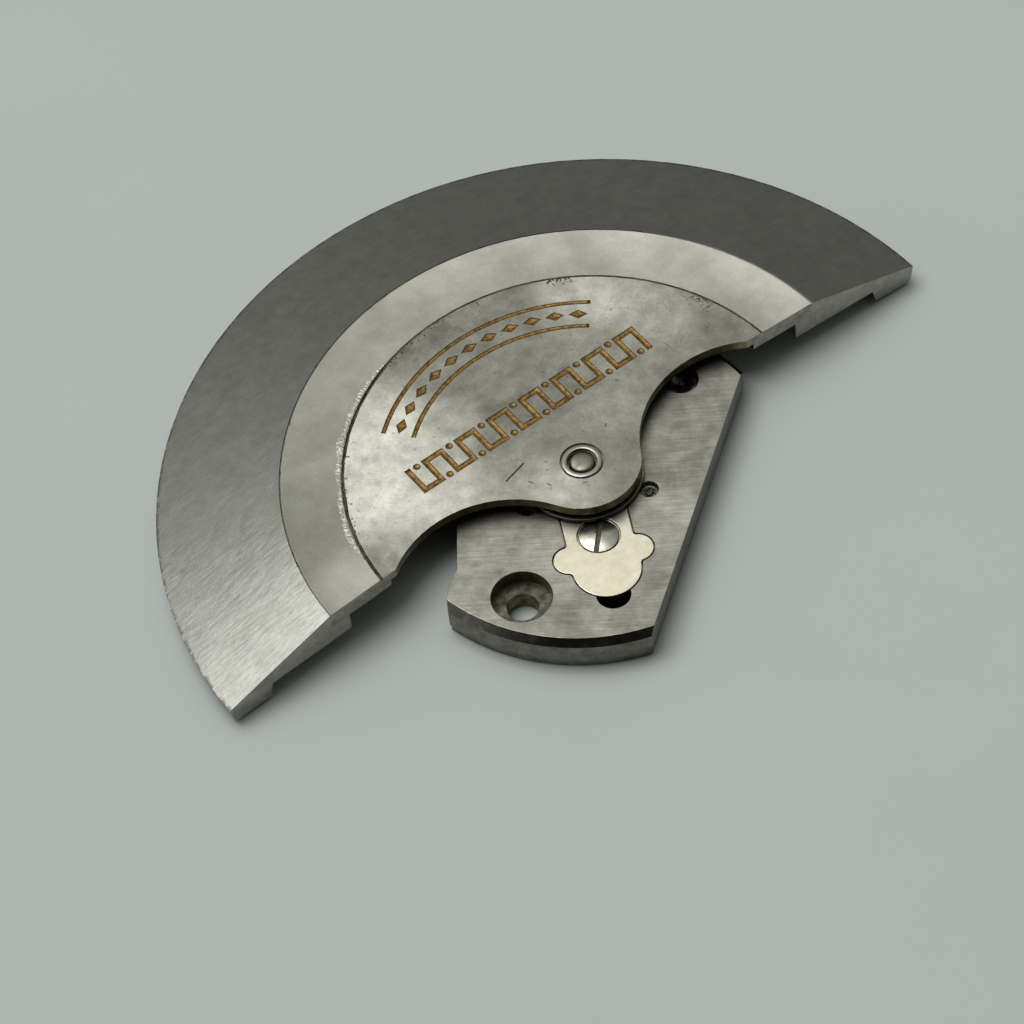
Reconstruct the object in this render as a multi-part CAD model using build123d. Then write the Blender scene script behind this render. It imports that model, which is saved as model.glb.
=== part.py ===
from build123d import *
import os
from math import atan2, cos, degrees, hypot, pi, radians, sin, sqrt

# Winding rotor of a self-winding wristwatch, on the bridge that holds its winding train.
# Origin on the rotor's axis at the seat of the bridge, +Z away from the movement,
# +Y from the axis to the middle of the heavy segment. Lengths in millimetres.

# Rotor in plan
rotor_radius = 13.5
seam_radius = 9.46
web_groove_radius = 7.49
flange_inner_radius = 7.15
rim_wall_radius = 8.8
foot_width = 1.5
foot_draft = 0.12
edge_draft = 0.1
end_setback_at_edge = 0.065
end_setback_at_seam = 0.26
hub_radius = 1.86
waist_radius = 3.68
waist_drop = 2.67

# Rotor heights, above the seat
rotor_top = 1.9
edge_top = 0.78
ledge_height = 1.32
relief_height = 0.66
foot_height = 0.12
web_thickness = 0.33
edge_round = 0.14
seam_bevel = 0.03
web_groove_width = 0.07
web_groove_depth = 0.06

# Ornament cut in the web and filled flush
ornament_depth = 0.06
fill_recess = 0.015
band_inner_radius = 5.42
band_outer_radius = 6.4
band_line_width = 0.15
band_half_angle = 40
band_lozenges = 11
lozenge_length = 0.62
lozenge_width = 0.36
key_centre_y = 2.7
key_length = 8.8
key_height = 1.1
key_stroke = 0.2
key_steps = 14
key_dot_radius = 0.12

# Rotor axle, from the top down
axle_proud = 0.03
bush_proud = 0.02
spigot_radius = 0.48
dimple_radius = 0.38
dimple_depth = 0.1
bush_radius = 0.7
shoulder_radius = 1.45
collar_radius = 1.92
collar_thickness = 0.12
collar_lift = 0.07
lock_groove_radius = 0.85
lock_groove_play = 0.02
journal_radius = 1.07
gear_seat_radius = 0.6
axle_foot_radius = 0.2
axle_pivot_radius = 0.15

# Bridge in plan: a disc with one straight side, one waisted side and a round foot at its screw
bridge_radius = 6.45
bridge_bevel = 0.22
bridge_turn = -26.25
straight_side_reach = 3.73
straight_side_angle = -27.9
waisted_side_reach = 3.97
waisted_side_angle = 169.9
foot_lobe_radius = 2.3
plate_inset = 0.05

# Bridge heights, above the seat
bridge_top = 1.2
lower_plate_thickness = 0.28
upper_plate_thickness = 0.34
jewel_floor = 0.06
jewel_thickness = 0.18

# Mounting screw holes and the tool hole, in the bridge's own directions from the rotor's axis
mount_hole_radius = 0.5
mount_counterbore_radius = 0.96
mount_counterbore_depth = 0.55
front_mount_reach = 4.981
front_mount_angle = -123.6
rear_mount_reach = 5.045
rear_mount_angle = 103.8
tool_hole_radius = 0.54
tool_hole_reach = 4.72

# Lock plate: a neck that enters the axle's groove, two ears and a round end
lock_thickness = 0.16
lock_clearance = 0.04
lock_neck_width = 2.1
lock_ear_radius = 0.5
lock_ear_reach = 3.16
lock_ear_offset = 1.07
lock_end_radius = 1.07
lock_end_reach = 3.71
lock_corner_round = 0.12

# Lock screw
lock_screw_reach = 2.42
lock_screw_head_radius = 0.64
lock_screw_head_height = 0.13
lock_screw_head_sunk = 0.09
lock_screw_shank_radius = 0.32
lock_screw_length = 0.62
screw_slot_width = 0.18
screw_slot_depth = 0.07
lock_slot_angle = 71.0

# Screws and steady pins between the two plates: distance and direction from the rotor's axis
plate_screw_head_radius = 0.45
plate_screw_head_height = 0.13
plate_screw_shank_radius = 0.25
plate_screw_length = 0.68
plate_screw_sunk = 0.02
plate_screw_end_gap = 0.03
left_screw_reach = 4.9
left_screw_angle = -142.4
front_screw_reach = 4.1
front_screw_angle = -76
rear_screw_reach = 5.1
rear_screw_angle = 79.8
far_screw_reach = 4.6
far_screw_angle = 126.1
steady_pin_radius = 0.2
steady_pin_length = 0.5
steady_pin_lift = 0.06
front_pin_reach = 4.4
front_pin_angle = -154.6
rear_pin_reach = 5.7
rear_pin_angle = 59.4
screw_fit = 0.01

# Winding train: all wheels share one module
module_length = 0.1
tooth_backlash = 0.03
addendum_share = 0.9
dedendum_share = 1.15
wheel_thickness = 0.18
upper_level = 0.6
lower_level = 0.34
rotor_gear_teeth = 19
input_teeth = 24
output_teeth = 18
idler_teeth = 28
reduction_teeth = 38
reduction_pinion_teeth = 20
drive_teeth = 24
drive_pinion_teeth = 10
reverser_middle_angle = -92.9
reverser_half_angle = 63.4
drive_axis_reach = 4.78
drive_axis_angle = 38.2
cavity_gap = 0.08
wheel_window_radius = 0.3
wheel_window_count = 5

# Arbors, pivots and their jewels
arbor_radius = 0.12
pivot_radius = 0.08
pivot_clearance = 0.02
journal_clearance = 0.03
endshake = 0.02
pivot_end_gap = 0.04
small_jewel_radius = 0.31
drive_jewel_radius = 0.56
foot_jewel_radius = 0.4
rotor_bearing_radius = 1.45
drive_recess_radius = 0.75
drive_recess_depth = 0.14
drive_bush_radius = 0.4
drive_pinion_lift = 0.02

# One-way clutch inside each reversing wheel
ratchet_teeth = 20
ratchet_outer_radius = 0.98
ratchet_inner_radius = 0.86
ratchet_depth = 0.12
pawl_thickness = 0.09
pawl_count = 2
pawl_post_reach = 0.5
pawl_post_radius = 0.05
pawl_eye_radius = 0.11
pawl_tip_gap = 0.04
pawl_sweep_angle = 52
pawl_tip_width = 0.05

overrun_length = 1.0
full_turn = 360
half_turn = 180
quarter_turn = 90

# Heights and places that follow from the sizes above
web_underside = rotor_top - web_thickness
axle_top = rotor_top + axle_proud
bush_top = rotor_top + bush_proud
collar_bottom = bridge_top + collar_lift
collar_top = collar_bottom + collar_thickness
lock_floor = bridge_top - lock_thickness
journal_top = lock_floor - lock_groove_play
cavity_top = bridge_top - upper_plate_thickness
pivot_bottom = jewel_floor + pivot_end_gap
pivot_top = cavity_top + jewel_thickness - pivot_end_gap
arbor_bottom = lower_plate_thickness + endshake
arbor_top = cavity_top - endshake
foot_inner_radius = rotor_radius - foot_width
end_slope = (end_setback_at_seam - end_setback_at_edge) / (rotor_radius - seam_radius)
waist_centre_x = sqrt((hub_radius + waist_radius) ** 2 - waist_drop ** 2)
waist_joint_y = -waist_drop * hub_radius / (hub_radius + waist_radius)
mount_hole_places = ((front_mount_reach, front_mount_angle), (rear_mount_reach, rear_mount_angle))
plate_screw_places = ((left_screw_reach, left_screw_angle), (front_screw_reach, front_screw_angle),
                      (rear_screw_reach, rear_screw_angle), (far_screw_reach, far_screw_angle))
steady_pin_places = ((front_pin_reach, front_pin_angle), (rear_pin_reach, rear_pin_angle))


# Helpers

def polar(reach, angle):
    return reach * cos(radians(angle)), reach * sin(radians(angle))


def disc(radius, bottom, top, place=(0, 0)):
    return Pos(place[0], place[1], bottom) * extrude(Circle(radius), top - bottom)


def ring(outer_radius, inner_radius, bottom, top, place=(0, 0)):
    return disc(outer_radius, bottom, top, place) - disc(inner_radius, bottom, top, place)


def slab(face, bottom, top):
    return Pos(0, 0, bottom) * extrude(face, top - bottom)


def turned(points):
    section = make_face(Polyline([(radius, 0, height) for radius, height in points], close=True))
    return revolve(section, Axis.Z, full_turn)


def half_plane(reach, angle, extent):
    """The side of a straight edge that holds the axis, with the edge's reach and direction from it."""
    side = Pos(reach - extent, 0) * Rectangle(2 * extent, 2 * extent)
    return Rot(0, 0, angle) * side


def on_bridge(shape):
    """From the bridge's own directions, lock towards -Y, to the rotor's."""
    return Rot(0, 0, bridge_turn) * shape


def group_on_bridge(shapes):
    return Compound([on_bridge(shape) for shape in shapes])


def spacing(teeth, mate_teeth):
    return module_length * (teeth + mate_teeth) / 2


def circles_meet(first, first_reach, second, second_reach):
    """The point at both reaches, to the left of the way from the first centre to the second."""
    dx = second[0] - first[0]
    dy = second[1] - first[1]
    apart = hypot(dx, dy)
    along = (first_reach ** 2 - second_reach ** 2 + apart ** 2) / (2 * apart)
    across = sqrt(first_reach ** 2 - along ** 2)
    return (first[0] + (along * dx - across * dy) / apart,
            first[1] + (along * dy + across * dx) / apart)


def direction(start, end):
    return degrees(atan2(end[1] - start[1], end[0] - start[0]))


def meshing_phase(phase, teeth, way, mate_teeth):
    """Direction of one tooth of the mate, half a pitch off the teeth of the first wheel."""
    pitches = (phase - way) * teeth / full_turn
    return way + half_turn - (pitches + 1 / 2) * full_turn / mate_teeth


def gear_face(teeth, phase):
    """Radial flanks below the pitch circle and a round crown above it."""
    pitch_radius = module_length * teeth / 2
    tip_radius = pitch_radius + addendum_share * module_length
    root_radius = pitch_radius - dedendum_share * module_length
    step = full_turn / teeth
    half_tooth = degrees((pi * module_length - 2 * tooth_backlash) / 4 / pitch_radius)
    edges = []
    for index in range(teeth):
        middle = phase + index * step
        root_left = polar(root_radius, middle - half_tooth)
        pitch_left = polar(pitch_radius, middle - half_tooth)
        pitch_right = polar(pitch_radius, middle + half_tooth)
        root_right = polar(root_radius, middle + half_tooth)
        next_left = polar(root_radius, middle + step - half_tooth)
        edges.append(Line(root_left, pitch_left))
        edges.append(ThreePointArc(pitch_left, polar(tip_radius, middle), pitch_right))
        edges.append(Line(pitch_right, root_right))
        edges.append(ThreePointArc(root_right, polar(root_radius, middle + step / 2), next_left))
    return make_face(edges)


def tip_radius_of(teeth):
    return module_length * (teeth / 2 + addendum_share)


def ratchet_face(hand):
    """Saw teeth on the inside of a wheel: a long ramp and a radial face, for either hand."""
    step = hand * full_turn / ratchet_teeth
    points = []
    for index in range(ratchet_teeth):
        points.append(polar(ratchet_inner_radius, index * step))
        points.append(polar(ratchet_outer_radius, (index + 1) * step))
    return make_face(Polyline(points, close=True))


# Centres of the train's arbors, in the bridge's own directions

reverser_reach = spacing(rotor_gear_teeth, input_teeth)
reverser_a = polar(reverser_reach, reverser_middle_angle - reverser_half_angle)
reverser_b = polar(reverser_reach, reverser_middle_angle + reverser_half_angle)
drive = polar(drive_axis_reach, drive_axis_angle)
reduction = circles_meet(reverser_b, spacing(output_teeth, reduction_teeth),
                         drive, spacing(reduction_pinion_teeth, drive_teeth))
idler = circles_meet(reverser_a, spacing(output_teeth, idler_teeth),
                     reduction, spacing(idler_teeth, reduction_teeth))

# Tooth phases that bring every pair into mesh at rest

input_a_phase = meshing_phase(0, rotor_gear_teeth, direction((0, 0), reverser_a), input_teeth)
input_b_phase = meshing_phase(0, rotor_gear_teeth, direction((0, 0), reverser_b), input_teeth)
output_b_phase = meshing_phase(0, reduction_teeth, direction(reduction, reverser_b), output_teeth)
idler_phase = meshing_phase(0, reduction_teeth, direction(reduction, idler), idler_teeth)
output_a_phase = meshing_phase(idler_phase, idler_teeth, direction(idler, reverser_a), output_teeth)
drive_phase = meshing_phase(0, reduction_pinion_teeth, direction(reduction, drive), drive_teeth)


# Rotor

def end_setback(radius):
    return end_setback_at_edge + end_slope * (rotor_radius - radius)


def heavy_side_face():
    """The part of the plan behind the rotor's two end faces, which lean a little from the diameter."""
    reach = rotor_radius + overrun_length
    return make_face(Polyline([(-reach, end_setback(reach)), (0, end_setback(0)), (reach, end_setback(reach)),
                               (reach, reach), (-reach, reach)], close=True))


def rotor_rim():
    section = make_face(Polyline([
        (seam_radius, 0, ledge_height),
        (seam_radius, 0, rotor_top),
        (rotor_radius, 0, edge_top),
        (rotor_radius - edge_draft, 0, foot_height),
        (foot_inner_radius, 0, foot_height),
        (foot_inner_radius - foot_draft, 0, relief_height),
        (rim_wall_radius, 0, relief_height),
        (rim_wall_radius, 0, ledge_height),
    ], close=True))
    lower_corner = section.vertices().group_by(Axis.Z)[0].sort_by(Axis.X)[-1]
    section = fillet(lower_corner, edge_round)
    seam_corner = section.vertices().sort_by(Axis.Z)[-1]
    section = chamfer(seam_corner, seam_bevel)
    body = revolve(section, Axis.Z, full_turn)
    return body & slab(heavy_side_face(), 0, rotor_top)


def web_plan():
    plate = Circle(web_groove_radius)
    arms = heavy_side_face()
    neck_height = web_groove_radius - waist_joint_y
    neck = Pos(0, waist_joint_y + neck_height / 2) * Rectangle(2 * waist_centre_x, neck_height)
    waists = Pos(waist_centre_x, -waist_drop) * Circle(waist_radius)
    waists += Pos(-waist_centre_x, -waist_drop) * Circle(waist_radius)
    return (plate & (arms + neck)) - waists + Circle(hub_radius)


def rotor_web(ornament):
    flange = ring(seam_radius, flange_inner_radius, ledge_height, rotor_top)
    outer_edge = flange.edges().filter_by(GeomType.CIRCLE).group_by(Axis.Z)[-1].sort_by(SortBy.RADIUS)[-1]
    flange = chamfer(outer_edge, seam_bevel)
    flange = flange & slab(heavy_side_face(), 0, rotor_top)
    body = slab(web_plan(), web_underside, rotor_top) + flange
    groove_floor = rotor_top - web_groove_depth
    body -= ring(web_groove_radius + web_groove_width / 2, web_groove_radius - web_groove_width / 2,
                 groove_floor, rotor_top)
    body -= disc(bush_radius, web_underside, rotor_top)
    return body - ornament


def arc_line(radius, width, half_angle):
    """A thin arc centred on the axis and on +Y."""
    inner = radius - width / 2
    outer = radius + width / 2
    start = quarter_turn - half_angle
    end = quarter_turn + half_angle
    return make_face([
        ThreePointArc(polar(outer, start), (0, outer), polar(outer, end)),
        Line(polar(outer, end), polar(inner, end)),
        ThreePointArc(polar(inner, end), (0, inner), polar(inner, start)),
        Line(polar(inner, start), polar(outer, start)),
    ])


def band_faces():
    """Two arcs with a row of lozenges between them, on the heavy side of the web."""
    faces = [arc_line(band_inner_radius, band_line_width, band_half_angle),
             arc_line(band_outer_radius, band_line_width, band_half_angle)]
    middle_radius = (band_inner_radius + band_outer_radius) / 2
    step = 2 * band_half_angle / band_lozenges
    half_length = lozenge_length / 2
    half_width = lozenge_width / 2
    lozenge = make_face(Polyline([(half_length, 0), (0, half_width), (-half_length, 0), (0, -half_width)],
                                 close=True))
    for index in range(band_lozenges):
        angle = -band_half_angle + (index + 1 / 2) * step
        faces.append(Rot(0, 0, angle) * Pos(0, middle_radius) * lozenge)
    return faces


def key_faces():
    """A square fret between the hub and the band, with a dot in every bay."""
    step = key_length / key_steps
    rail_y = (key_height - key_stroke) / 2
    fret = Sketch()
    dots = []
    for index in range(key_steps + 1):
        x = -key_length / 2 + index * step
        fret += Pos(x, key_centre_y) * Rectangle(key_stroke, key_height)
        if index < key_steps:
            side = 1 if index % 2 else -1
            bay_x = x + step / 2
            fret += Pos(bay_x, key_centre_y + side * rail_y) * Rectangle(step, key_stroke)
            dots.append(Pos(bay_x, key_centre_y - side * rail_y) * Circle(key_dot_radius))
    return [fret] + dots


def ornament_solids(bottom, top):
    return [slab(face, bottom, top) for face in band_faces() + key_faces()]


def rotor_axle():
    stem = turned([
        (0, pivot_bottom), (axle_pivot_radius, pivot_bottom),
        (axle_pivot_radius, arbor_bottom), (axle_foot_radius, arbor_bottom),
        (axle_foot_radius, upper_level), (gear_seat_radius, upper_level),
        (gear_seat_radius, upper_level + wheel_thickness), (journal_radius, upper_level + wheel_thickness),
        (journal_radius, journal_top), (lock_groove_radius, journal_top),
        (lock_groove_radius, collar_bottom), (collar_radius, collar_bottom),
        (collar_radius, collar_top), (shoulder_radius, collar_top),
        (shoulder_radius, web_underside), (spigot_radius, web_underside),
        (spigot_radius, axle_top), (0, axle_top),
    ])
    ball_radius = (dimple_radius ** 2 + dimple_depth ** 2) / (2 * dimple_depth)
    return stem - Pos(0, 0, axle_top - dimple_depth + ball_radius) * Sphere(ball_radius)


def rotor_gear():
    face = gear_face(rotor_gear_teeth, 0) - Circle(gear_seat_radius)
    return on_bridge(slab(face, upper_level, upper_level + wheel_thickness))


# Bridge

def bridge_plan():
    extent = 2 * bridge_radius
    lobe_centre = polar(*mount_hole_places[0])
    waisted = half_plane(waisted_side_reach, waisted_side_angle, extent)
    waisted += Pos(*lobe_centre) * Circle(foot_lobe_radius)
    return Circle(bridge_radius) & half_plane(straight_side_reach, straight_side_angle, extent) & waisted


def lock_plan(growth):
    """The lock plate in plan, or with growth its recess."""
    neck_reach = lock_end_reach
    neck = Pos(0, -neck_reach / 2) * Rectangle(lock_neck_width + 2 * growth, neck_reach)
    face = neck + Pos(0, -lock_end_reach) * Circle(lock_end_radius + growth)
    for side in (-1, 1):
        face += Pos(side * lock_ear_offset, -lock_ear_reach) * Circle(lock_ear_radius + growth)
    junctions = [corner for corner in face.vertices() if corner.Y < -lock_neck_width]
    face = fillet(junctions, lock_corner_round)
    return face - Circle(lock_groove_radius + lock_clearance)


def gear_cavity():
    """Room for the wheels between the two plates, a margin beyond each wheel's teeth."""
    wheels = (((0, 0), rotor_gear_teeth), (reverser_a, input_teeth), (reverser_b, input_teeth),
              (idler, idler_teeth), (reduction, reduction_teeth), (drive, drive_teeth))
    cavity = Part()
    for place, teeth in wheels:
        cavity += disc(tip_radius_of(teeth) + cavity_gap, lower_plate_thickness, cavity_top, place)
    return cavity


def mount_holes():
    holes = Part()
    for reach, angle in mount_hole_places:
        place = polar(reach, angle)
        holes += disc(mount_hole_radius, 0, bridge_top, place)
        holes += disc(mount_counterbore_radius, bridge_top - mount_counterbore_depth, bridge_top, place)
    return holes


def plate_screw_holes():
    holes = Part()
    hole_end = plate_screw_length + plate_screw_end_gap
    head_seat = plate_screw_sunk + plate_screw_head_height
    for reach, angle in plate_screw_places:
        place = polar(reach, angle)
        holes += disc(plate_screw_shank_radius + screw_fit, 0, hole_end, place)
        holes += disc(plate_screw_head_radius + screw_fit, 0, head_seat, place)
    for reach, angle in steady_pin_places:
        holes += disc(steady_pin_radius, steady_pin_lift, steady_pin_lift + steady_pin_length,
                      polar(reach, angle))
    return holes


def upper_bridge():
    body = slab(bridge_plan(), lower_plate_thickness, bridge_top)
    rim_edges = body.edges().filter_by(GeomType.CIRCLE).group_by(Axis.Z)[-1]
    round_edges = [edge for edge in rim_edges if edge.radius > foot_lobe_radius]
    body = chamfer(round_edges, bridge_bevel)
    body -= gear_cavity()
    body -= slab(lock_plan(lock_clearance), lock_floor, bridge_top)
    body -= disc(rotor_bearing_radius, cavity_top, bridge_top)
    for place in (reverser_a, reverser_b, idler, reduction):
        body -= disc(small_jewel_radius, cavity_top, bridge_top, place)
    body -= disc(drive_jewel_radius, cavity_top, bridge_top, drive)
    body -= disc(tool_hole_radius, lower_plate_thickness, bridge_top, (0, -tool_hole_reach))
    body -= disc(lock_screw_shank_radius + screw_fit, lock_floor - lock_screw_length, bridge_top,
                 (0, -lock_screw_reach))
    body -= mount_holes()
    body -= plate_screw_holes()
    return on_bridge(body)


def lower_bridge():
    plan = offset(bridge_plan(), -plate_inset)
    body = slab(plan, 0, lower_plate_thickness)
    for place in (reverser_a, reverser_b, idler, reduction):
        body -= disc(small_jewel_radius, jewel_floor, lower_plate_thickness, place)
    body -= disc(foot_jewel_radius, jewel_floor, lower_plate_thickness)
    body -= disc(drive_bush_radius, drive_recess_depth, lower_plate_thickness, drive)
    body -= disc(drive_recess_radius, 0, drive_recess_depth, drive)
    body -= mount_holes()
    body -= plate_screw_holes()
    return on_bridge(body)


def lock_plate():
    screw_place = (0, -lock_screw_reach)
    body = slab(lock_plan(0), lock_floor, bridge_top)
    body -= disc(lock_screw_shank_radius + screw_fit, lock_floor, bridge_top, screw_place)
    body -= disc(lock_screw_head_radius + lock_clearance, bridge_top - lock_screw_head_sunk, bridge_top,
                 screw_place)
    return on_bridge(body)


def slotted_screw(head_radius, head_height, shank_radius, length, slot_angle):
    """A cheese-head screw: underside of the head at zero height, shank downwards."""
    body = disc(head_radius, 0, head_height) + disc(shank_radius, -length, 0)
    slot = Rectangle(2 * head_radius, screw_slot_width)
    return body - Rot(0, 0, slot_angle) * slab(slot, head_height - screw_slot_depth, head_height)


def lock_screw():
    seat = bridge_top - lock_screw_head_sunk
    length = lock_screw_length - lock_thickness + lock_screw_head_sunk
    screw = slotted_screw(lock_screw_head_radius, lock_screw_head_height, lock_screw_shank_radius,
                          length, lock_slot_angle)
    return on_bridge(Pos(0, -lock_screw_reach, seat) * screw)


def plate_screws():
    screw = slotted_screw(plate_screw_head_radius, plate_screw_head_height, plate_screw_shank_radius,
                          plate_screw_length - plate_screw_sunk - plate_screw_head_height, 0)
    seat = plate_screw_sunk + plate_screw_head_height
    screws = []
    for reach, angle in plate_screw_places:
        x, y = polar(reach, angle)
        screws.append(Pos(x, y, seat) * Rot(half_turn, 0, angle) * screw)
    return group_on_bridge(screws)


def steady_pins():
    pins = [disc(steady_pin_radius, steady_pin_lift, steady_pin_lift + steady_pin_length, polar(reach, angle))
            for reach, angle in steady_pin_places]
    return group_on_bridge(pins)


# Bearings

def rotor_bearing():
    return ring(rotor_bearing_radius, journal_radius + journal_clearance, cavity_top, lock_floor)


def rotor_foot_jewel():
    return ring(foot_jewel_radius, axle_pivot_radius + pivot_clearance, jewel_floor, lower_plate_thickness)


def jewels(places, radius, bottom, top):
    stones = [ring(radius, pivot_radius + pivot_clearance, bottom, top, place) for place in places]
    return group_on_bridge(stones)


def drive_bush():
    return on_bridge(ring(drive_bush_radius, arbor_radius + pivot_clearance, drive_recess_depth,
                          lower_plate_thickness, drive))


# Train

def wheel(teeth, phase, bore_radius, level):
    return slab(gear_face(teeth, phase) - Circle(bore_radius), level, level + wheel_thickness)


def pierced_wheel(teeth, phase, level):
    """A wheel with a ring of round windows midway between its arbor and its teeth."""
    window_reach = (arbor_radius + module_length * teeth / 2) / 2
    body = wheel(teeth, phase, arbor_radius, level)
    for index in range(wheel_window_count):
        place = polar(window_reach, index * full_turn / wheel_window_count)
        body -= disc(wheel_window_radius, level, level + wheel_thickness, place)
    return body


def arbor():
    return turned([(0, pivot_bottom), (pivot_radius, pivot_bottom), (pivot_radius, arbor_bottom),
                   (arbor_radius, arbor_bottom), (arbor_radius, arbor_top), (pivot_radius, arbor_top),
                   (pivot_radius, pivot_top), (0, pivot_top)])


def at(place, shape):
    return on_bridge(Pos(place[0], place[1], 0) * shape)


def group_at(place, shapes):
    return Compound([at(place, shape) for shape in shapes])


def input_wheel(phase, hand):
    body = wheel(input_teeth, phase, arbor_radius + pivot_clearance, upper_level)
    return body - slab(ratchet_face(hand), upper_level, upper_level + ratchet_depth)


def output_gear(phase):
    body = wheel(output_teeth, phase, arbor_radius, lower_level)
    for index in range(pawl_count):
        place = polar(pawl_post_reach, index * full_turn / pawl_count)
        body += disc(pawl_post_radius, lower_level + wheel_thickness, upper_level + pawl_thickness, place)
    return body


def pawl_pair(hand):
    """Pawls that lean from their posts towards the radial faces of the ratchet."""
    tip_reach = ratchet_inner_radius - pawl_tip_gap
    pawls = []
    for index in range(pawl_count):
        start = index * full_turn / pawl_count
        eye = polar(pawl_post_reach, start)
        tip = polar(tip_reach, start + hand * pawl_sweep_angle)
        heel = polar(tip_reach - pawl_tip_width, start + hand * pawl_sweep_angle)
        outer = polar(pawl_post_reach + pawl_eye_radius, start)
        inner = polar(pawl_post_reach - pawl_eye_radius, start)
        arm = make_face(Polyline([outer, tip, heel, inner], close=True))
        face = arm + Pos(*eye) * Circle(pawl_eye_radius) - Pos(*eye) * Circle(pawl_post_radius)
        pawls.append(slab(face, upper_level, upper_level + pawl_thickness))
    return pawls


def reduction_pinion():
    return arbor() + slab(gear_face(reduction_pinion_teeth, 0), upper_level, upper_level + wheel_thickness)


def drive_pinion():
    """The train's last arbor: it ends below in the pinion that drives the movement."""
    pinion_top = drive_recess_depth - endshake
    stem = turned([(0, drive_pinion_lift), (arbor_radius, drive_pinion_lift), (arbor_radius, arbor_top),
                   (pivot_radius, arbor_top), (pivot_radius, pivot_top), (0, pivot_top)])
    return stem + slab(gear_face(drive_pinion_teeth, 0), drive_pinion_lift, pinion_top)


# Every piece, one file each

ornament = ornament_solids(rotor_top - ornament_depth, rotor_top)
pieces = {
    "rotor_rim": rotor_rim(),
    "rotor_web": rotor_web(ornament),
    "ornament_fill": Compound(ornament_solids(rotor_top - ornament_depth, rotor_top - fill_recess)),
    "hub_bush": ring(bush_radius, spigot_radius, web_underside, bush_top),
    "rotor_axle": rotor_axle(),
    "rotor_gear": rotor_gear(),
    "upper_bridge": upper_bridge(),
    "lower_bridge": lower_bridge(),
    "lock_plate": lock_plate(),
    "lock_screw": lock_screw(),
    "plate_screws": plate_screws(),
    "steady_pins": steady_pins(),
    "rotor_bearing": rotor_bearing(),
    "rotor_foot_jewel": rotor_foot_jewel(),
    "reverser_top_jewels": jewels((reverser_a, reverser_b), small_jewel_radius,
                                  cavity_top, cavity_top + jewel_thickness),
    "reverser_foot_jewels": jewels((reverser_a, reverser_b), small_jewel_radius,
                                   jewel_floor, lower_plate_thickness),
    "train_top_jewels": jewels((idler, reduction), small_jewel_radius,
                               cavity_top, cavity_top + jewel_thickness),
    "train_foot_jewels": jewels((idler, reduction), small_jewel_radius, jewel_floor, lower_plate_thickness),
    "drive_top_jewel": jewels((drive,), drive_jewel_radius, cavity_top, cavity_top + jewel_thickness),
    "drive_bush": drive_bush(),
    "idler_wheel": at(idler, pierced_wheel(idler_teeth, idler_phase, lower_level)),
    "idler_arbor": at(idler, arbor()),
    "reduction_wheel": at(reduction, pierced_wheel(reduction_teeth, 0, lower_level)),
    "reduction_pinion": at(reduction, reduction_pinion()),
    "drive_wheel": at(drive, wheel(drive_teeth, drive_phase, arbor_radius, upper_level)),
    "drive_pinion": at(drive, drive_pinion()),
}
reversers = (
    ("reverser_a", reverser_a, input_a_phase, output_a_phase, 1),
    ("reverser_b", reverser_b, input_b_phase, output_b_phase, -1),
)
for name, place, input_phase, output_phase, hand in reversers:
    pieces[name + "_input_wheel"] = at(place, input_wheel(input_phase, hand))
    pieces[name + "_output_gear"] = at(place, output_gear(output_phase))
    pieces[name + "_pawls"] = group_at(place, pawl_pair(hand))
    pieces[name + "_arbor"] = at(place, arbor())

os.makedirs("parts", exist_ok=True)
for name, shape in pieces.items():
    export_step(shape, "parts/" + name + ".step")
for name, place in (("reverser_a", reverser_a), ("reverser_b", reverser_b), ("idler", idler),
                    ("reduction", reduction), ("drive", drive)):
    axis = Vector(*place).rotate(Axis.Z, bridge_turn)
    print(name, "axis at", round(axis.X, 4), round(axis.Y, 4))
for index, (reach, angle) in enumerate(mount_hole_places):
    axis = Vector(*polar(reach, angle)).rotate(Axis.Z, bridge_turn)
    print("mount hole", index, "at", round(axis.X, 4), round(axis.Y, 4))
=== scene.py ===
import logging
import math
from collections.abc import Callable, Iterable, Sequence
from dataclasses import dataclass
from enum import Enum

import bmesh
import bpy
from mathutils import Matrix, Vector, noise


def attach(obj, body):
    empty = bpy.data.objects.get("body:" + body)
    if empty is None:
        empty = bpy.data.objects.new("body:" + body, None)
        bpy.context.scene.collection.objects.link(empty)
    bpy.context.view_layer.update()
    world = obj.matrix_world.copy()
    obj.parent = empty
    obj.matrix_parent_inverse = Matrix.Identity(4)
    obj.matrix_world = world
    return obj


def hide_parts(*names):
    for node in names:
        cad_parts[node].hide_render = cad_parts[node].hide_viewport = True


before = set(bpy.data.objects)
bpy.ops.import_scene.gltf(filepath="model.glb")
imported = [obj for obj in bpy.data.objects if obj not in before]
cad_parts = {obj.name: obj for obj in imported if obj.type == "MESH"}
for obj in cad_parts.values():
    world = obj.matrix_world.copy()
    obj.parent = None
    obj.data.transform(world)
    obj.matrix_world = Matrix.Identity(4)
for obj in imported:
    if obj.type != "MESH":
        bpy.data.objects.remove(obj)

# Looks of a watch's winding rotor and the bridge that carries it, lying on pale card.
# Sizes are in millimetres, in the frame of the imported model, and become metres when a piece is settled.

MM = 0.001
# Points nearer than this are one point, and faces that turn less than this many degrees are one face
SAME_POINT = 0.0002
SAME_FACE_ANGLE = 0.2
# Upward part of a face's normal, below which the face is steep and above which it is level
STEEP_BELOW = 0.5
LEVEL_ABOVE = 0.9
log = logging.getLogger("rotor")

Point2 = tuple[float, float]
Point3 = tuple[float, float, float]
Tree = bpy.types.NodeTree
Socket = bpy.types.NodeSocket


class Working(Enum):
    """How a layer of fine marks runs over a surface."""

    STRAIGHT = "rubbed along one direction"
    TURNED = "turned about the rotor's axis"
    SPECKLED = "without a direction"


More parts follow.
